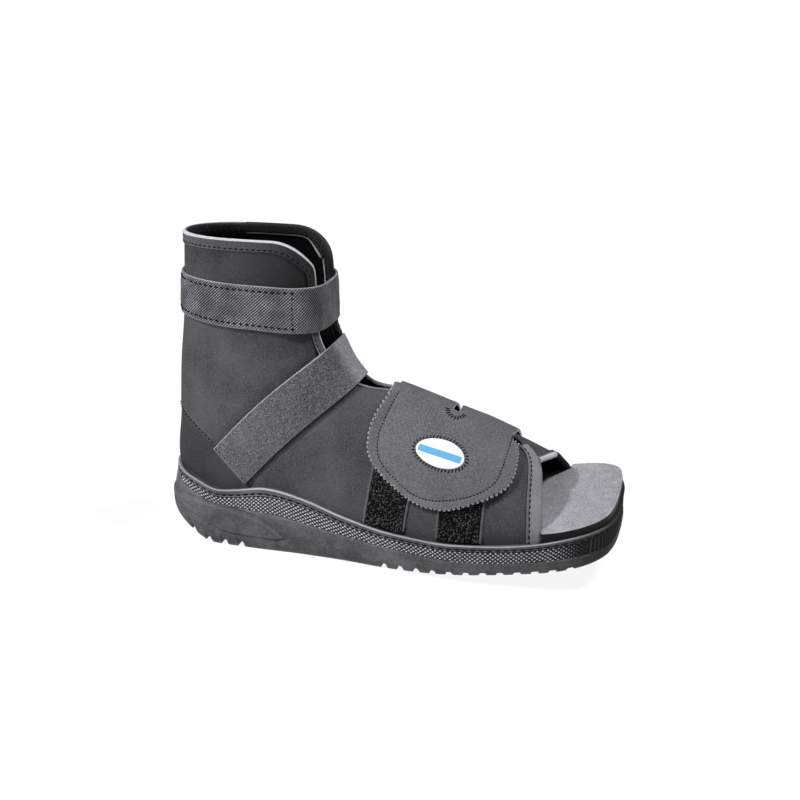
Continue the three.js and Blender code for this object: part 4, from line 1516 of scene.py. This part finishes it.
def instep_axes(points):
    """Places along and square to the instep strap's straight line."""
    rise = math.radians(INSTEP_STRAP["rise_deg"])
    forward = points[:, 0] - INSTEP_STRAP["x"]
    upward = points[:, 2] - INSTEP_STRAP["z"]
    along = forward * math.cos(rise) + upward * math.sin(rise)
    return along, upward * math.cos(rise) - forward * math.sin(rise)


def instep_along(points):
    return instep_axes(points)[0]


def instep_across(points):
    """Distance from the strap's middle line, which bows upwards between its ends."""
    along, straight = instep_axes(points)
    share = np.clip(-along / INSTEP_STRAP["reach"], 0, 1)
    return straight - INSTEP_STRAP["bow"] * np.sin(PI * share)


def cloth_ease(points):
    """Small fullness of the fitted cloth: soft waves and a fold, pressed in under the instep strap, along the
    seam and at the rim.
    """
    x, y, z = points.T
    wave = EASE_WAVE * np.sin(x / 21 + z / 15) * np.sin(z / 27 - x / 33 + y / 40)
    from_fold = x + 46 - (z - 130) * 0.25
    fold = EASE_FOLD * np.exp(-((from_fold / 7) ** 2)) * step_up(z, 112, 132) * step_up(-z, -150, -138)
    band = np.abs(instep_across(points)) - INSTEP_STRAP["width"] / 2
    press = STRAP_PRESS * step_up(-band, -7, 2)
    seam = SEAM_PRESS * np.exp(-((heel_inside(points) / 2.0) ** 2))
    rim = RIM_PRESS * np.exp(-(((z - rim_height(x)) / 4.0) ** 2))
    return wave + fold - press - seam - rim


def make_quarter(side):
    near = side == "near"
    own_edge = near_edge_inside if near else far_edge_inside
    first, final = (0.0, PI) if near else (PI - FAR_QUARTER_LAP, 2 * PI)
    cuts = [floor_inside, front_inside, own_edge, quarter_cut]
    if not near:
        cuts.append(far_part_inside)
    marks, faces, plain = panel(rows=(0, 12, 217), turns=(first, final, 92), section=4.5, cuts=cuts)
    from_edge = np.minimum(own_edge(plain), front_inside(plain))
    thickness = EDGE_WALL + (WALL - EDGE_WALL) * step_up(from_edge, *EDGE_THINNING)
    name = "quarter_" + side
    finishes = [QUARTER_CLOTH, LINING_CLOTH, QUARTER_CLOTH]
    piece = cloth_piece(
        name + "_cloth", marks, faces, cloth_ease(plain), thickness, QUARTER_ROUND, finishes,
        name,
    )
    at_edge = np.abs(own_edge(plain)) < EDGE_TOLERANCE
    is_open = at_edge | (np.abs(front_inside(plain)) < OPENING_TOLERANCE)
    return edge_lines(marks, faces, is_open)


def make_heel_counter():
    turns = (-PI + 0.6, PI - 0.6, 150)
    cuts = [floor_inside, heel_inside]
    marks, faces, plain = panel(rows=(2.5, 9, 130), turns=turns, section=4.5, cuts=cuts)
    lip = HEEL_LIP * np.exp(-((heel_inside(plain) / 1.6) ** 2))
    lift = lip + HEEL_EASE * cloth_ease(plain) - HEEL_SINK
    finishes = [HEEL_CLOTH, LINING_CLOTH, HEEL_CLOTH]
    piece = cloth_piece(
        "heel_counter_cloth", marks, faces, lift, WALL, QUARTER_ROUND, finishes, "heel_counter"
    )


def open_edge(lines, keep):
    """The longest stretch of the edge lines whose points are kept."""
    best = lines[0][:0]
    for line in lines:
        good = keep(on_last(line, 0.0))
        start = 0
        for index in range(len(good) + 1):
            if index == len(good) or not good[index]:
                if index - start > len(best):
                    best = line[start:index]
                start = index + 1
    return best


def collar_part(points):
    return (points[:, 2] > 118) & (instep_across(points) > INSTEP_STRAP["width"] / 2 - 1.5)


def slit_part(points):
    below = instep_across(points) < 2 - INSTEP_STRAP["width"] / 2
    return below & (points[:, 0] < 22) & (points[:, 2] > 80)


def toe_part(points):
    return (points[:, 0] > TOE_BINDING_START) & (points[:, 2] > rim_height(points[:, 0]) - 1.5)


def plain_stretch(_):
    return 0


def collar_stretch(point):
    """Outer edge in front with a painted highlight on its fold; in the far throat the outer flange in painted
    shade and a painted highlight on the inner edge; below the ankle strap all in painted shade.
    """
    if point[1] < 0 or point[0] < FAR_LINE_START:
        return 0
    return 1 if point[2] > FAR_LINE_FOOT else 2


# Past y 20 the far toe tape takes its row in painted shade
def far_toe_stretch(point):
    return int(point[1] > 20)


def bound_edge(name, node, line, section, tones, stretch_of, stitch_seat):
    """A folded tape over an edge line, each strip with its finish, its lit strips as painted highlight and
    its shaded ones as painted shade. Gives its row of stitches.
    """
    place, run, normals = edge_frame(line)
    points, faces = swept(place, run, normals, section)
    finish = []
    for point in place[:-1]:
        finish += tones[stretch_of(point)]
    finishes = [BINDING_TAPE, BINDING_FOLD_HIGHLIGHT, BINDING_PAINTED_SHADE, BINDING_PALE_HIGHLIGHT]
    make_piece(name, points, faces, finishes, [node], finish + [0, 0], crease_deg=60)
    out, lift = stitch_seat
    row = place + np.cross(run, normals) * out + normals * lift
    return stitch_row(row, normals, **TAPE_STITCH)


def make_bindings(near_edges, far_edges):
    far_collar = open_edge(far_edges, collar_part)[1:] - (0, 2 * PI)
    collar = np.vstack([open_edge(near_edges, collar_part), far_collar])
    place = edge_frame(collar)[0]
    wide = np.array(COLLAR_SECTION)
    wide[FAR_FLANGE_FIRST : FAR_FLANGE_FIRST + len(FAR_FLANGE)] = FAR_FLANGE
    share = step_up(place[:, 0], *FAR_THROAT) * (place[:, 1] > 0)
    sections = COLLAR_SECTION + share[:, None, None] * (wide - COLLAR_SECTION)
    tapes = [
        ("collar_tape", "collar_binding", collar, sections, COLLAR_TONES, collar_stretch, COLLAR_STITCH_SEAT),
        (
            "toe_tape_near", "toe_binding_near", open_edge(near_edges, toe_part),
            TOE_SECTION, TOE_TONES, plain_stretch, TOE_STITCH_SEAT,
        ),
        (
            "toe_tape_far", "toe_binding_far", open_edge(far_edges, toe_part),
            FAR_TOE_SECTION, FAR_TOE_TONES, far_toe_stretch, FAR_TOE_STITCH_SEAT,
        ),
    ]
    rows = [bound_edge(*tape) for tape in tapes]
    place, run, normals = edge_frame(far_collar)
    depth = INNER_STITCH_DEPTH + INNER_STITCH_DEEPER * step_up(place[:, 0], *FAR_THROAT)
    inner = place - np.cross(run, normals) * INNER_STITCH_INSET - normals * depth[:, None]
    rows.append(stitch_row(inner, -normals, **TAPE_STITCH))
    make_stitches("binding_stitches", rows)
    rolls = []
    for lines in (near_edges, far_edges):
        rolls.append(swept(*edge_frame(open_edge(lines, slit_part)), EDGE_ROLL_SECTION))
    points, faces = gathered(rolls)
    make_piece("front_edge_rolls", points, faces, [BINDING_TAPE], crease_deg=60)


def shaft_row(height, turn):
    """How far along the last the shaft reaches a height, at each turn."""
    low = np.zeros(np.broadcast(height, turn).shape)
    high = np.full_like(low, 2.2)
    for _ in range(30):
        middle = (low + high) / 2
        above = last_point(middle, turn)[..., 2] > height
        low = np.where(above, middle, low)
        high = np.where(above, high, middle)
    return low


def shaft_marks(heights, turns):
    turns = np.broadcast_to(turns, heights.shape)
    return np.stack([shaft_row(heights, turns), turns], -1).reshape(-1, 2)


def ankle_strap_lift(turn):
    index = turn / (2 * PI) * ANKLE_STRAP["turns"]
    half = ANKLE_STRAP["turns"] / 2
    over_binding = (GAP + 1.1) * step_up(index, half - 7, half - 4)
    over_start = 0.8 * step_up(index, half + 3, ANKLE_STRAP["turns"] + ANKLE_STRAP["start"] - 1)
    return GAP + over_binding + over_start


def ankle_strap_heights(turn):
    share = (1 - np.cos(turn)) / 2
    return [back + (front - back) * share for back, front in zip(ANKLE_STRAP["back"], ANKLE_STRAP["front"])]


def make_ankle_strap():
    first, final = (ANKLE_STRAP[end] / ANKLE_STRAP["turns"] * 2 * PI for end in ("start", "end"))
    turns = even_turns(1.5, first, final, 220)
    across = np.linspace(0, 1, ANKLE_COLUMNS)
    low, high = ankle_strap_heights(turns)
    marks = shaft_marks(high[:, None] + (low - high)[:, None] * across, turns[:, None])
    faces = [(a, d, c, b) for a, b, c, d in sheet_faces(len(turns), ANKLE_COLUMNS)]
    edge = np.tile(np.minimum(across, 1 - across) * ANKLE_WIDTH, len(turns))
    sewn = step_up(-marks[:, 1], -ANKLE_STITCH_TURN, -ANKLE_STITCH_TURN + 0.3)
    dent = ANKLE_STITCH_DENT * np.exp(-(((edge - ANKLE_STITCH_INSET) / 0.9) ** 2)) * sewn
    puff = ANKLE_PUFF * step_up(edge, 0, 7) - dent
    ripple = ANKLE_RIPPLE * np.sin(marks[:, 1] * 9) * np.sin(edge / 5)
    lift = ankle_strap_lift(marks[:, 1]) + STRAP_THICKNESS + puff + ripple
    run = run_along(on_last(marks, lift)[ANKLE_COLUMNS // 2 :: ANKLE_COLUMNS])
    own = np.column_stack([np.repeat(run, ANKLE_COLUMNS), np.tile(across * ANKLE_WEAVE_WIDTH, len(turns))])
    rim = sorted({corner for pair in rim_edges(faces) for corner in pair})
    weave = np.vstack([own, own] + [own[rim]] * len(EDGE_ROUNDING))
    finishes = [STRAP_TWILL, STRAP_TWILL, STRAP_EDGE]
    thickness = STRAP_THICKNESS + puff + ripple
    strap = cloth_piece(
        "ankle_strap_webbing", marks, faces, lift, thickness, ANKLE_ROUND, finishes,
        "ankle_strap", weave,
    )
    sewn_turns = np.linspace(first + 0.1, ANKLE_STITCH_TURN, 160)
    low, high = ankle_strap_heights(sewn_turns)
    low, high = low + ANKLE_STITCH_INSET, high - ANKLE_STITCH_INSET
    tack = np.linspace(high[-1], low[-1], 20)
    rows = []
    for heights, at_turns, rise, stitch in (
        (high, sewn_turns, 0.1, STRAP_STITCH),
        (low, sewn_turns, 0.1, STRAP_STITCH),
        (tack, ANKLE_STITCH_TURN, 0.45, TACK_STITCH),
    ):
        line = shaft_marks(heights, at_turns)
        rows.append(stitches_on(line, ankle_strap_lift(line[:, 1]) + STRAP_THICKNESS + rise, stitch))
    make_stitches("ankle_strap_stitches", rows)


def instep_inside(points):
    return INSTEP_STRAP["width"] / 2 - np.abs(instep_across(points))


def instep_ends_inside(points):
    far = instep_along(points) + INSTEP_STRAP["far_reach"]
    return np.where(points[:, 1] > 0, far, -heel_inside(points) - 0.5)


def make_instep_strap():
    turns = (0.35, 2 * PI - 0.9, 150)
    cuts = [instep_inside, instep_ends_inside]
    marks, faces, plain = panel(rows=(2.2, 8.6, 230), turns=turns, section=4.5, cuts=cuts)
    edge = instep_inside(plain)
    along = instep_along(plain)
    lift = GAP + INSTEP_LIFT * step_up(along, -92, -70) * step_up(plain[:, 2], 60, 90)
    ripple = INSTEP_RIPPLE * np.sin(along / 8) * np.sin(edge / 6)
    thickness = STRAP_THICKNESS + (INSTEP_PUFF * step_up(edge, 0, 6) + ripple)
    finishes = [STRAP_KNIT, STRAP_KNIT, STRAP_EDGE]
    strap = cloth_piece(
        "instep_strap_knit", marks, faces, lift + thickness, thickness, INSTEP_ROUND, finishes,
        "instep_strap",
    )


def make_seam_stitches():
    seam = SEAM_LINE[(SEAM_LINE[:, 0] > -136) & (SEAM_LINE[:, 1] > rim_height(SEAM_LINE[:, 0]) + 2)]
    run = unit(np.gradient(seam, axis=0))
    beside = seam + np.column_stack([-run[:, 1], run[:, 0]]) * SEAM_STITCH_OFFSET
    rows = []
    for find in (near_side, far_side):
        marks = find(beside)
        covered = (instep_inside(last_point(*marks.T)) > 0) & (find is near_side)
        lift = np.where(covered, GAP + STRAP_THICKNESS + 0.15, 0.0)
        rows.append(stitches_on(marks, lift, HEEL_STITCH))
    make_stitches("heel_seam_stitches", rows)


FLAP_LINE_STEP = 0.35
FLAP_LINE = smooth_curve(FLAP_EDGE, FLAP_LINE_STEP)
FLAP_SEAM_LINE = smooth_curve(FLAP_SEAM, FLAP_LINE_STEP)


def beside_line(line, points):
    """Distance inside a line in side view, and the length along it."""
    place = points[:, [0, 2]]
    distance = np.empty(len(place))
    along = np.empty(len(place))
    run = unit(np.gradient(line, axis=0))
    for start in range(0, len(place), 4000):
        block = place[start : start + 4000]
        away = block[:, None] - line[None]
        nearest = np.argmin((away**2).sum(-1), axis=1)
        offset = block - line[nearest]
        heading = run[nearest]
        sign = np.sign(heading[:, 0] * offset[:, 1] - heading[:, 1] * offset[:, 0])
        distance[start : start + 4000] = np.hypot(*offset.T) * sign
        along[start : start + 4000] = nearest * FLAP_LINE_STEP + (offset * heading).sum(1)
    return distance, along


def flap_edge_run():
    """Lengths along the flap's edge as it lies on the last, one for each point of its line."""
    place = on_last(near_side(FLAP_LINE), 0.0)
    return run_along(place)


FLAP_RUN = flap_edge_run()


def notch_depth(along):
    """Depth of the pinking at lengths along the flap's edge. It fades out near the ridge."""
    run = np.interp(along, np.arange(len(FLAP_LINE)) * FLAP_LINE_STEP, FLAP_RUN)
    phase = run / FLAP_TOOTH_PITCH % 1
    to_ridge = (len(FLAP_LINE) - 1) * FLAP_LINE_STEP - along
    return FLAP_TOOTH_DEPTH * np.abs(2 * phase - 1) * step_up(to_ridge, 4, 9)


def flap_inside(points):
    """How far inside the pinked near edge, or the plain far edges, a point lies."""
    x, y, z = points.T
    distance, along = beside_line(FLAP_LINE, points)
    far = np.minimum(np.minimum(x - FLAP_SPAN[0], FLAP_SPAN[1] - x), z - FLAP_FAR_HEM)
    return np.where(y < 0, distance - notch_depth(along), far)


def slot_outside(points):
    x, y, _ = points.T
    away = np.abs(x - FLAP_SLOT["x"]) - FLAP_SLOT["half_length"]
    return np.maximum(np.maximum(away, FLAP_SLOT["near_y"] - y), y - FLAP_SLOT["far_y"])


def flap_lift(marks):
    """Room under the flap: most over the loop strips, little on the far side and at the ridge's front."""
    x, y, _ = last_point(*marks.T).T
    far = step_up(marks[:, 1], PI + 0.1, PI + 1.0)
    front = FLAP_FRONT_DROP * step_up(x, 50, 80) * step_up(y, -24, -6)
    return FLAP_LIFT + (GAP - FLAP_LIFT) * np.maximum(far, front)


def flap_faces(marks):
    """Height of the flap's upper face above the last, and its thickness."""
    plain = last_point(*marks.T)
    distance, along = beside_line(FLAP_LINE, plain)
    from_seam = beside_line(FLAP_SEAM_LINE, plain)[0]
    near = step_up(-plain[:, 1], 0, 12)
    sewn = FLAP_SEAM_DENT * np.exp(-((from_seam / 1.1) ** 2)) * near
    curl = step_up(-distance, -7, 0) * (FLAP_CURL + FLAP_CURL_WAVE * np.sin(along / 13)) * near
    crown = FLAP_CROWN * step_up(distance, 6, 18) * near
    thickness = FLAP_THICKNESS + crown - sewn
    return flap_lift(marks) + thickness + curl, thickness


def make_flap():
    turns = (1.15, 2 * PI - 1.75, 240)
    cuts = [flap_inside, slot_outside]
    marks, faces, plain = panel(rows=(4.4, 11.6, 250), turns=turns, section=9, cuts=cuts)
    distance, along = beside_line(FLAP_LINE, plain)
    # Cut edges deep in the pinking's notches take the near-black inner finish as painted shade
    in_notch = (notch_depth(along) > FLAP_TOOTH_DEPTH / 2) & (np.abs(distance) < 3) & (plain[:, 1] < 0)
    dark = [index for index, edge in enumerate(rim_edges(faces)) if in_notch[list(edge)].all()]
    top, thickness = flap_faces(marks)
    finishes = [FLAP_FELT, LINING_CLOTH, FLAP_CUT_EDGE_HIGHLIGHT]
    flap = cloth_piece(
        "forefoot_flap_felt", marks, faces, top, thickness, FLAP_ROUND, finishes,
        "forefoot_flap", dark=dark,
    )


def make_flap_stitches():
    arc = np.linspace(0.1 * PI, 0.9 * PI, 24)
    loop_y = FLAP_SLOT["near_y"] + 0.5 - 6 * np.sin(arc)
    loop = np.column_stack([FLAP_SLOT["x"] + 5.5 * np.cos(arc), loop_y])
    rows = []
    for marks, stitch in ((near_side(FLAP_SEAM_LINE), FLAP_STITCH), (top_side(loop), SLOT_STITCH)):
        rows.append(stitches_on(marks, flap_faces(marks)[0] + FLAP_STITCH_RISE, stitch))
    make_stitches("flap_stitches", rows)


def strip_foot(strip):
    return float(rim_height(strip["x"]))


def strip_lean(strip, points):
    """Place across a loop strip, from its own middle line."""
    return points[:, 0] - strip["x"] - (points[:, 2] - strip_foot(strip)) * strip["lean"]


def make_loop_strip(which):
    strip = LOOP_STRIPS[which]
    node = "loop_strip_" + which

    def across_inside(points):
        return strip["half_width"] - np.abs(strip_lean(strip, points))

    def height_inside(points):
        return np.minimum(LOOP_TOP - points[:, 2], points[:, 2] - rim_height(points[:, 0]) - GAP)

    turns = (0.5, PI - 0.3, 70)
    cuts = [across_inside, height_inside]
    marks, faces, _ = panel(rows=(5, 11.5, 150), turns=turns, section=9, cuts=cuts)
    finishes = [LOOP_PILE, LOOP_PILE, LOOP_PILE]
    lift = GAP + LOOP_BASE
    base = cloth_piece(node + "_base", marks, faces, lift, LOOP_BASE, LOOP_ROUND, finishes, node)
    foot = strip_foot(strip)
    selvages = []
    for edge in (-1, 1):
        heights = np.linspace(foot + 1.5, LOOP_TOP, 60)
        x = strip["x"] + edge * strip["half_width"] + (heights - foot) * strip["lean"]
        heights = np.maximum(heights, rim_height(x) + 0.6)
        line = near_side(np.column_stack([x, heights]))
        selvages.append(swept(*edge_frame(line, 1.0), SELVAGE_SECTION))
    tape_points, tape_faces = gathered(selvages)
    make_piece(node + "_selvage", tape_points, tape_faces, [SELVAGE_TAPE])
    make_pile(node + "_loops", strip, foot)


def make_pile(name, strip, foot):
    """The pile of a loop strip: small bent threads standing on its base."""
    rng = np.random.default_rng(int(strip["x"] * 10))
    heights = np.arange(foot + 1.2, LOOP_TOP - 6, LOOP_SPACING)
    offsets = np.arange(-strip["half_width"] + 1.2, strip["half_width"] - 1, LOOP_SPACING)
    middles = strip["x"] + (heights - foot) * strip["lean"]
    spots = np.array([(x + across, z) for x, z in zip(middles, heights) for across in offsets])
    spots = spots + rng.uniform(-0.35, 0.35, spots.shape) * LOOP_SPACING
    spots = spots[spots[:, 1] > rim_height(spots[:, 0]) + 0.8]
    marks = near_side(spots)
    base = on_last(marks, GAP + LOOP_BASE)
    up = last_normal(*marks.T)
    flat = unit(np.cross(up, rng.normal(size=up.shape)))
    beside = np.cross(up, flat)
    rise = LOOP_RISE * rng.uniform(0.7, 1.15, len(base))
    rings = []
    for reach, height in LOOP_BENDS:
        middle = base + flat * (reach * LOOP_SPREAD) + up * (rise * height)[:, None]
        for side in range(LOOP_SIDES):
            angle = 2 * PI * side / LOOP_SIDES
            spread = beside * math.cos(angle) + (up * 0.6 + flat * 0.4) * math.sin(angle)
            rings.append(middle + spread * LOOP_THREAD)
    points = np.stack(rings, 1).reshape(-1, 3)
    faces = []
    for loop in range(len(base)):
        faces += ring_walls(len(LOOP_BENDS), LOOP_SIDES, loop * len(rings))
    worn = rng.uniform(0, 1, len(base)) < LOOP_WORN_SHARE
    finish = np.repeat(worn.astype(int), LOOP_SIDES * (len(LOOP_BENDS) - 1)).tolist()
    make_piece(name, points, faces, [LOOP_PILE, LOOP_WORN], (), finish, crease_deg=80)


def badge_place(reach, angle):
    """Side view places on the badge's oval, and the same in its own length and height."""
    tilt = math.radians(BADGE["tilt_deg"])
    long = BADGE["half_length"] * reach * np.cos(angle)
    tall = BADGE["half_height"] * reach * np.sin(angle)
    x = BADGE["x"] + long * math.cos(tilt) - tall * math.sin(tilt)
    z = BADGE["z"] + long * math.sin(tilt) + tall * math.cos(tilt)
    return np.column_stack([x, z]), np.column_stack([long, tall])


def make_badge():
    angles = np.arange(BADGE_SIDES) / BADGE_SIDES * 2 * PI
    points = []
    weave = []
    for reach, height, finish in BADGE_PROFILE:
        place, own = badge_place(reach, angles)
        thread = BADGE_THREAD * finish * (np.arange(BADGE_SIDES) % 2)
        points.append(on_last(near_side(place), BADGE_BED + height + thread))
        weave.append(own)
    place, own = badge_place(0.0, angles[:1])
    points.append(on_last(near_side(place), BADGE_BED + BADGE_MIDDLE))
    weave.append(own)
    rings = len(BADGE_PROFILE)
    faces = ring_walls(rings, BADGE_SIDES)
    finish_of = [row[2] for row in BADGE_PROFILE[1:] for _ in range(BADGE_SIDES)]
    inner = (rings - 1) * BADGE_SIDES
    for column in range(BADGE_SIDES):
        faces.append((inner + column, inner + (column + 1) % BADGE_SIDES, rings * BADGE_SIDES))
        finish_of.append(0)
    faces.append(tuple(reversed(range(BADGE_SIDES))))
    finish_of.append(1)
    badge = make_piece(
        "oval_badge_patch", np.vstack(points), faces, [BADGE_CLOTH, BADGE_EDGE],
        ["oval_badge"], finish_of, np.vstack(weave),
    )
    place, _ = badge_place(1.13, np.linspace(0, 2 * PI, 200))
    row = stitches_on(near_side(place), BADGE_BED + 0.2, BADGE_STITCH)
    make_stitches("badge_stitches", [row])


make_sole()
make_sole_band()
make_sole_stitches()
make_insole()
near_edges = make_quarter("near")
far_edges = make_quarter("far")
make_heel_counter()
make_bindings(near_edges, far_edges)
make_ankle_strap()
make_instep_strap()
make_seam_stitches()
make_loop_strip("rear")
make_loop_strip("front")
make_flap()
make_flap_stitches()
make_badge()


# Floor, light and camera


def make_floor():
    shape = bmesh.new()
    bmesh.ops.create_grid(shape, x_segments=8, y_segments=8, size=FLOOR_REACH)
    mesh = bpy.data.meshes.new("pale_floor")
    shape.to_mesh(mesh)
    shape.free()
    floor = put_in_scene("pale_floor", mesh)
    floor.location.z = -FLOOR_DROP
    material, tree, shader, relief = bare_finish("pale_floor", 0.02, 0.2, 0.1)
    place = object_place(tree)
    soft = noise(tree, place, 3.0, 2.0)
    feed(tree, mixed(tree, soft, (0.09, 0.09, 0.09, 1), (0.11, 0.11, 0.11, 1)), shader.inputs["Base Color"])
    shader.inputs["Emission Color"].default_value = (1, 1, 1, 1)
    shader.inputs["Emission Strength"].default_value = FLOOR_GLOW
    feed(tree, noise(tree, place, 300.0, 2.0), relief.inputs["Height"])
    shader.inputs["Roughness"].default_value = 0.9
    mesh.materials.append(material)


def turn_to(thing, direction, axis):
    """Turns an object so that its axis points in a direction."""
    thing.rotation_mode = "QUATERNION"
    thing.rotation_quaternion = direction.to_track_quat(axis, "Y")


def spot(name, place, aim, radius, cone_deg, power):
    data = bpy.data.lights.new(name, "SPOT")
    data.shadow_soft_size = radius
    data.spot_size = math.radians(cone_deg)
    data.spot_blend = 1
    data.energy = power
    light = put_in_scene(name, data)
    light.location = place
    turn_to(light, Vector(place) - Vector(aim), "Z")


def make_light():
    """A soft sun from above, a key and a fill from the left and a sky that is darker on the toe side."""
    world = bpy.data.worlds.new("studio")
    world.use_nodes = True
    tree = world.node_tree
    sky = tree.nodes["Background"]
    sky.inputs["Strength"].default_value = 1.0
    facing = add(tree, "ShaderNodeVectorMath", operation="DOT_PRODUCT")
    place = add(tree, "ShaderNodeTexCoord").outputs["Generated"]
    feed(tree, place, facing.inputs[0])
    facing.inputs[1].default_value = SKY_BRIGHT_SIDE
    share = ranged(tree, facing.outputs["Value"], -0.7, 0.8)
    dome = mixed(tree, share, (0.01, 0.01, 0.01, 1), (0.2, 0.2, 0.2, 1))
    upward = axes_of(tree, place)["Z"]
    above = ranged(tree, upward, HORIZON_TOP, HORIZON_TOP + HORIZON_FADE)
    feed(tree, mixed(tree, above, (1, 1, 1, 1), dome), sky.inputs["Color"])
    bpy.context.scene.world = world
    data = bpy.data.lights.new("soft_sun", "SUN")
    data.energy = SUN_STRENGTH
    data.angle = math.radians(SUN_SPREAD_DEG)
    turn_to(put_in_scene("soft_sun", data), Vector(SUN_FROM), "Z")
    spot("key_spot", **KEY_SPOT)
    spot("heel_fill", **FILL_SPOT)
    bpy.context.scene.view_settings.view_transform = "Standard"


def make_camera():
    data = bpy.data.cameras.new("studio_camera")
    data.sensor_width = 36
    data.lens = CAMERA_LENS
    data.shift_x = CAMERA_SHIFT
    data.clip_start = 0.01
    elevation = math.radians(CAMERA_ELEVATION)
    yaw = math.radians(CAMERA_YAW)
    flat = math.cos(elevation)
    back = Vector((math.sin(yaw) * flat, -math.cos(yaw) * flat, math.sin(elevation)))
    camera = put_in_scene("studio_camera", data)
    camera.location = Vector(CAMERA_TARGET) * MM + back * CAMERA_DISTANCE * MM
    turn_to(camera, -back, "-Z")
    bpy.context.scene.camera = camera


make_floor()
make_light()
make_camera()
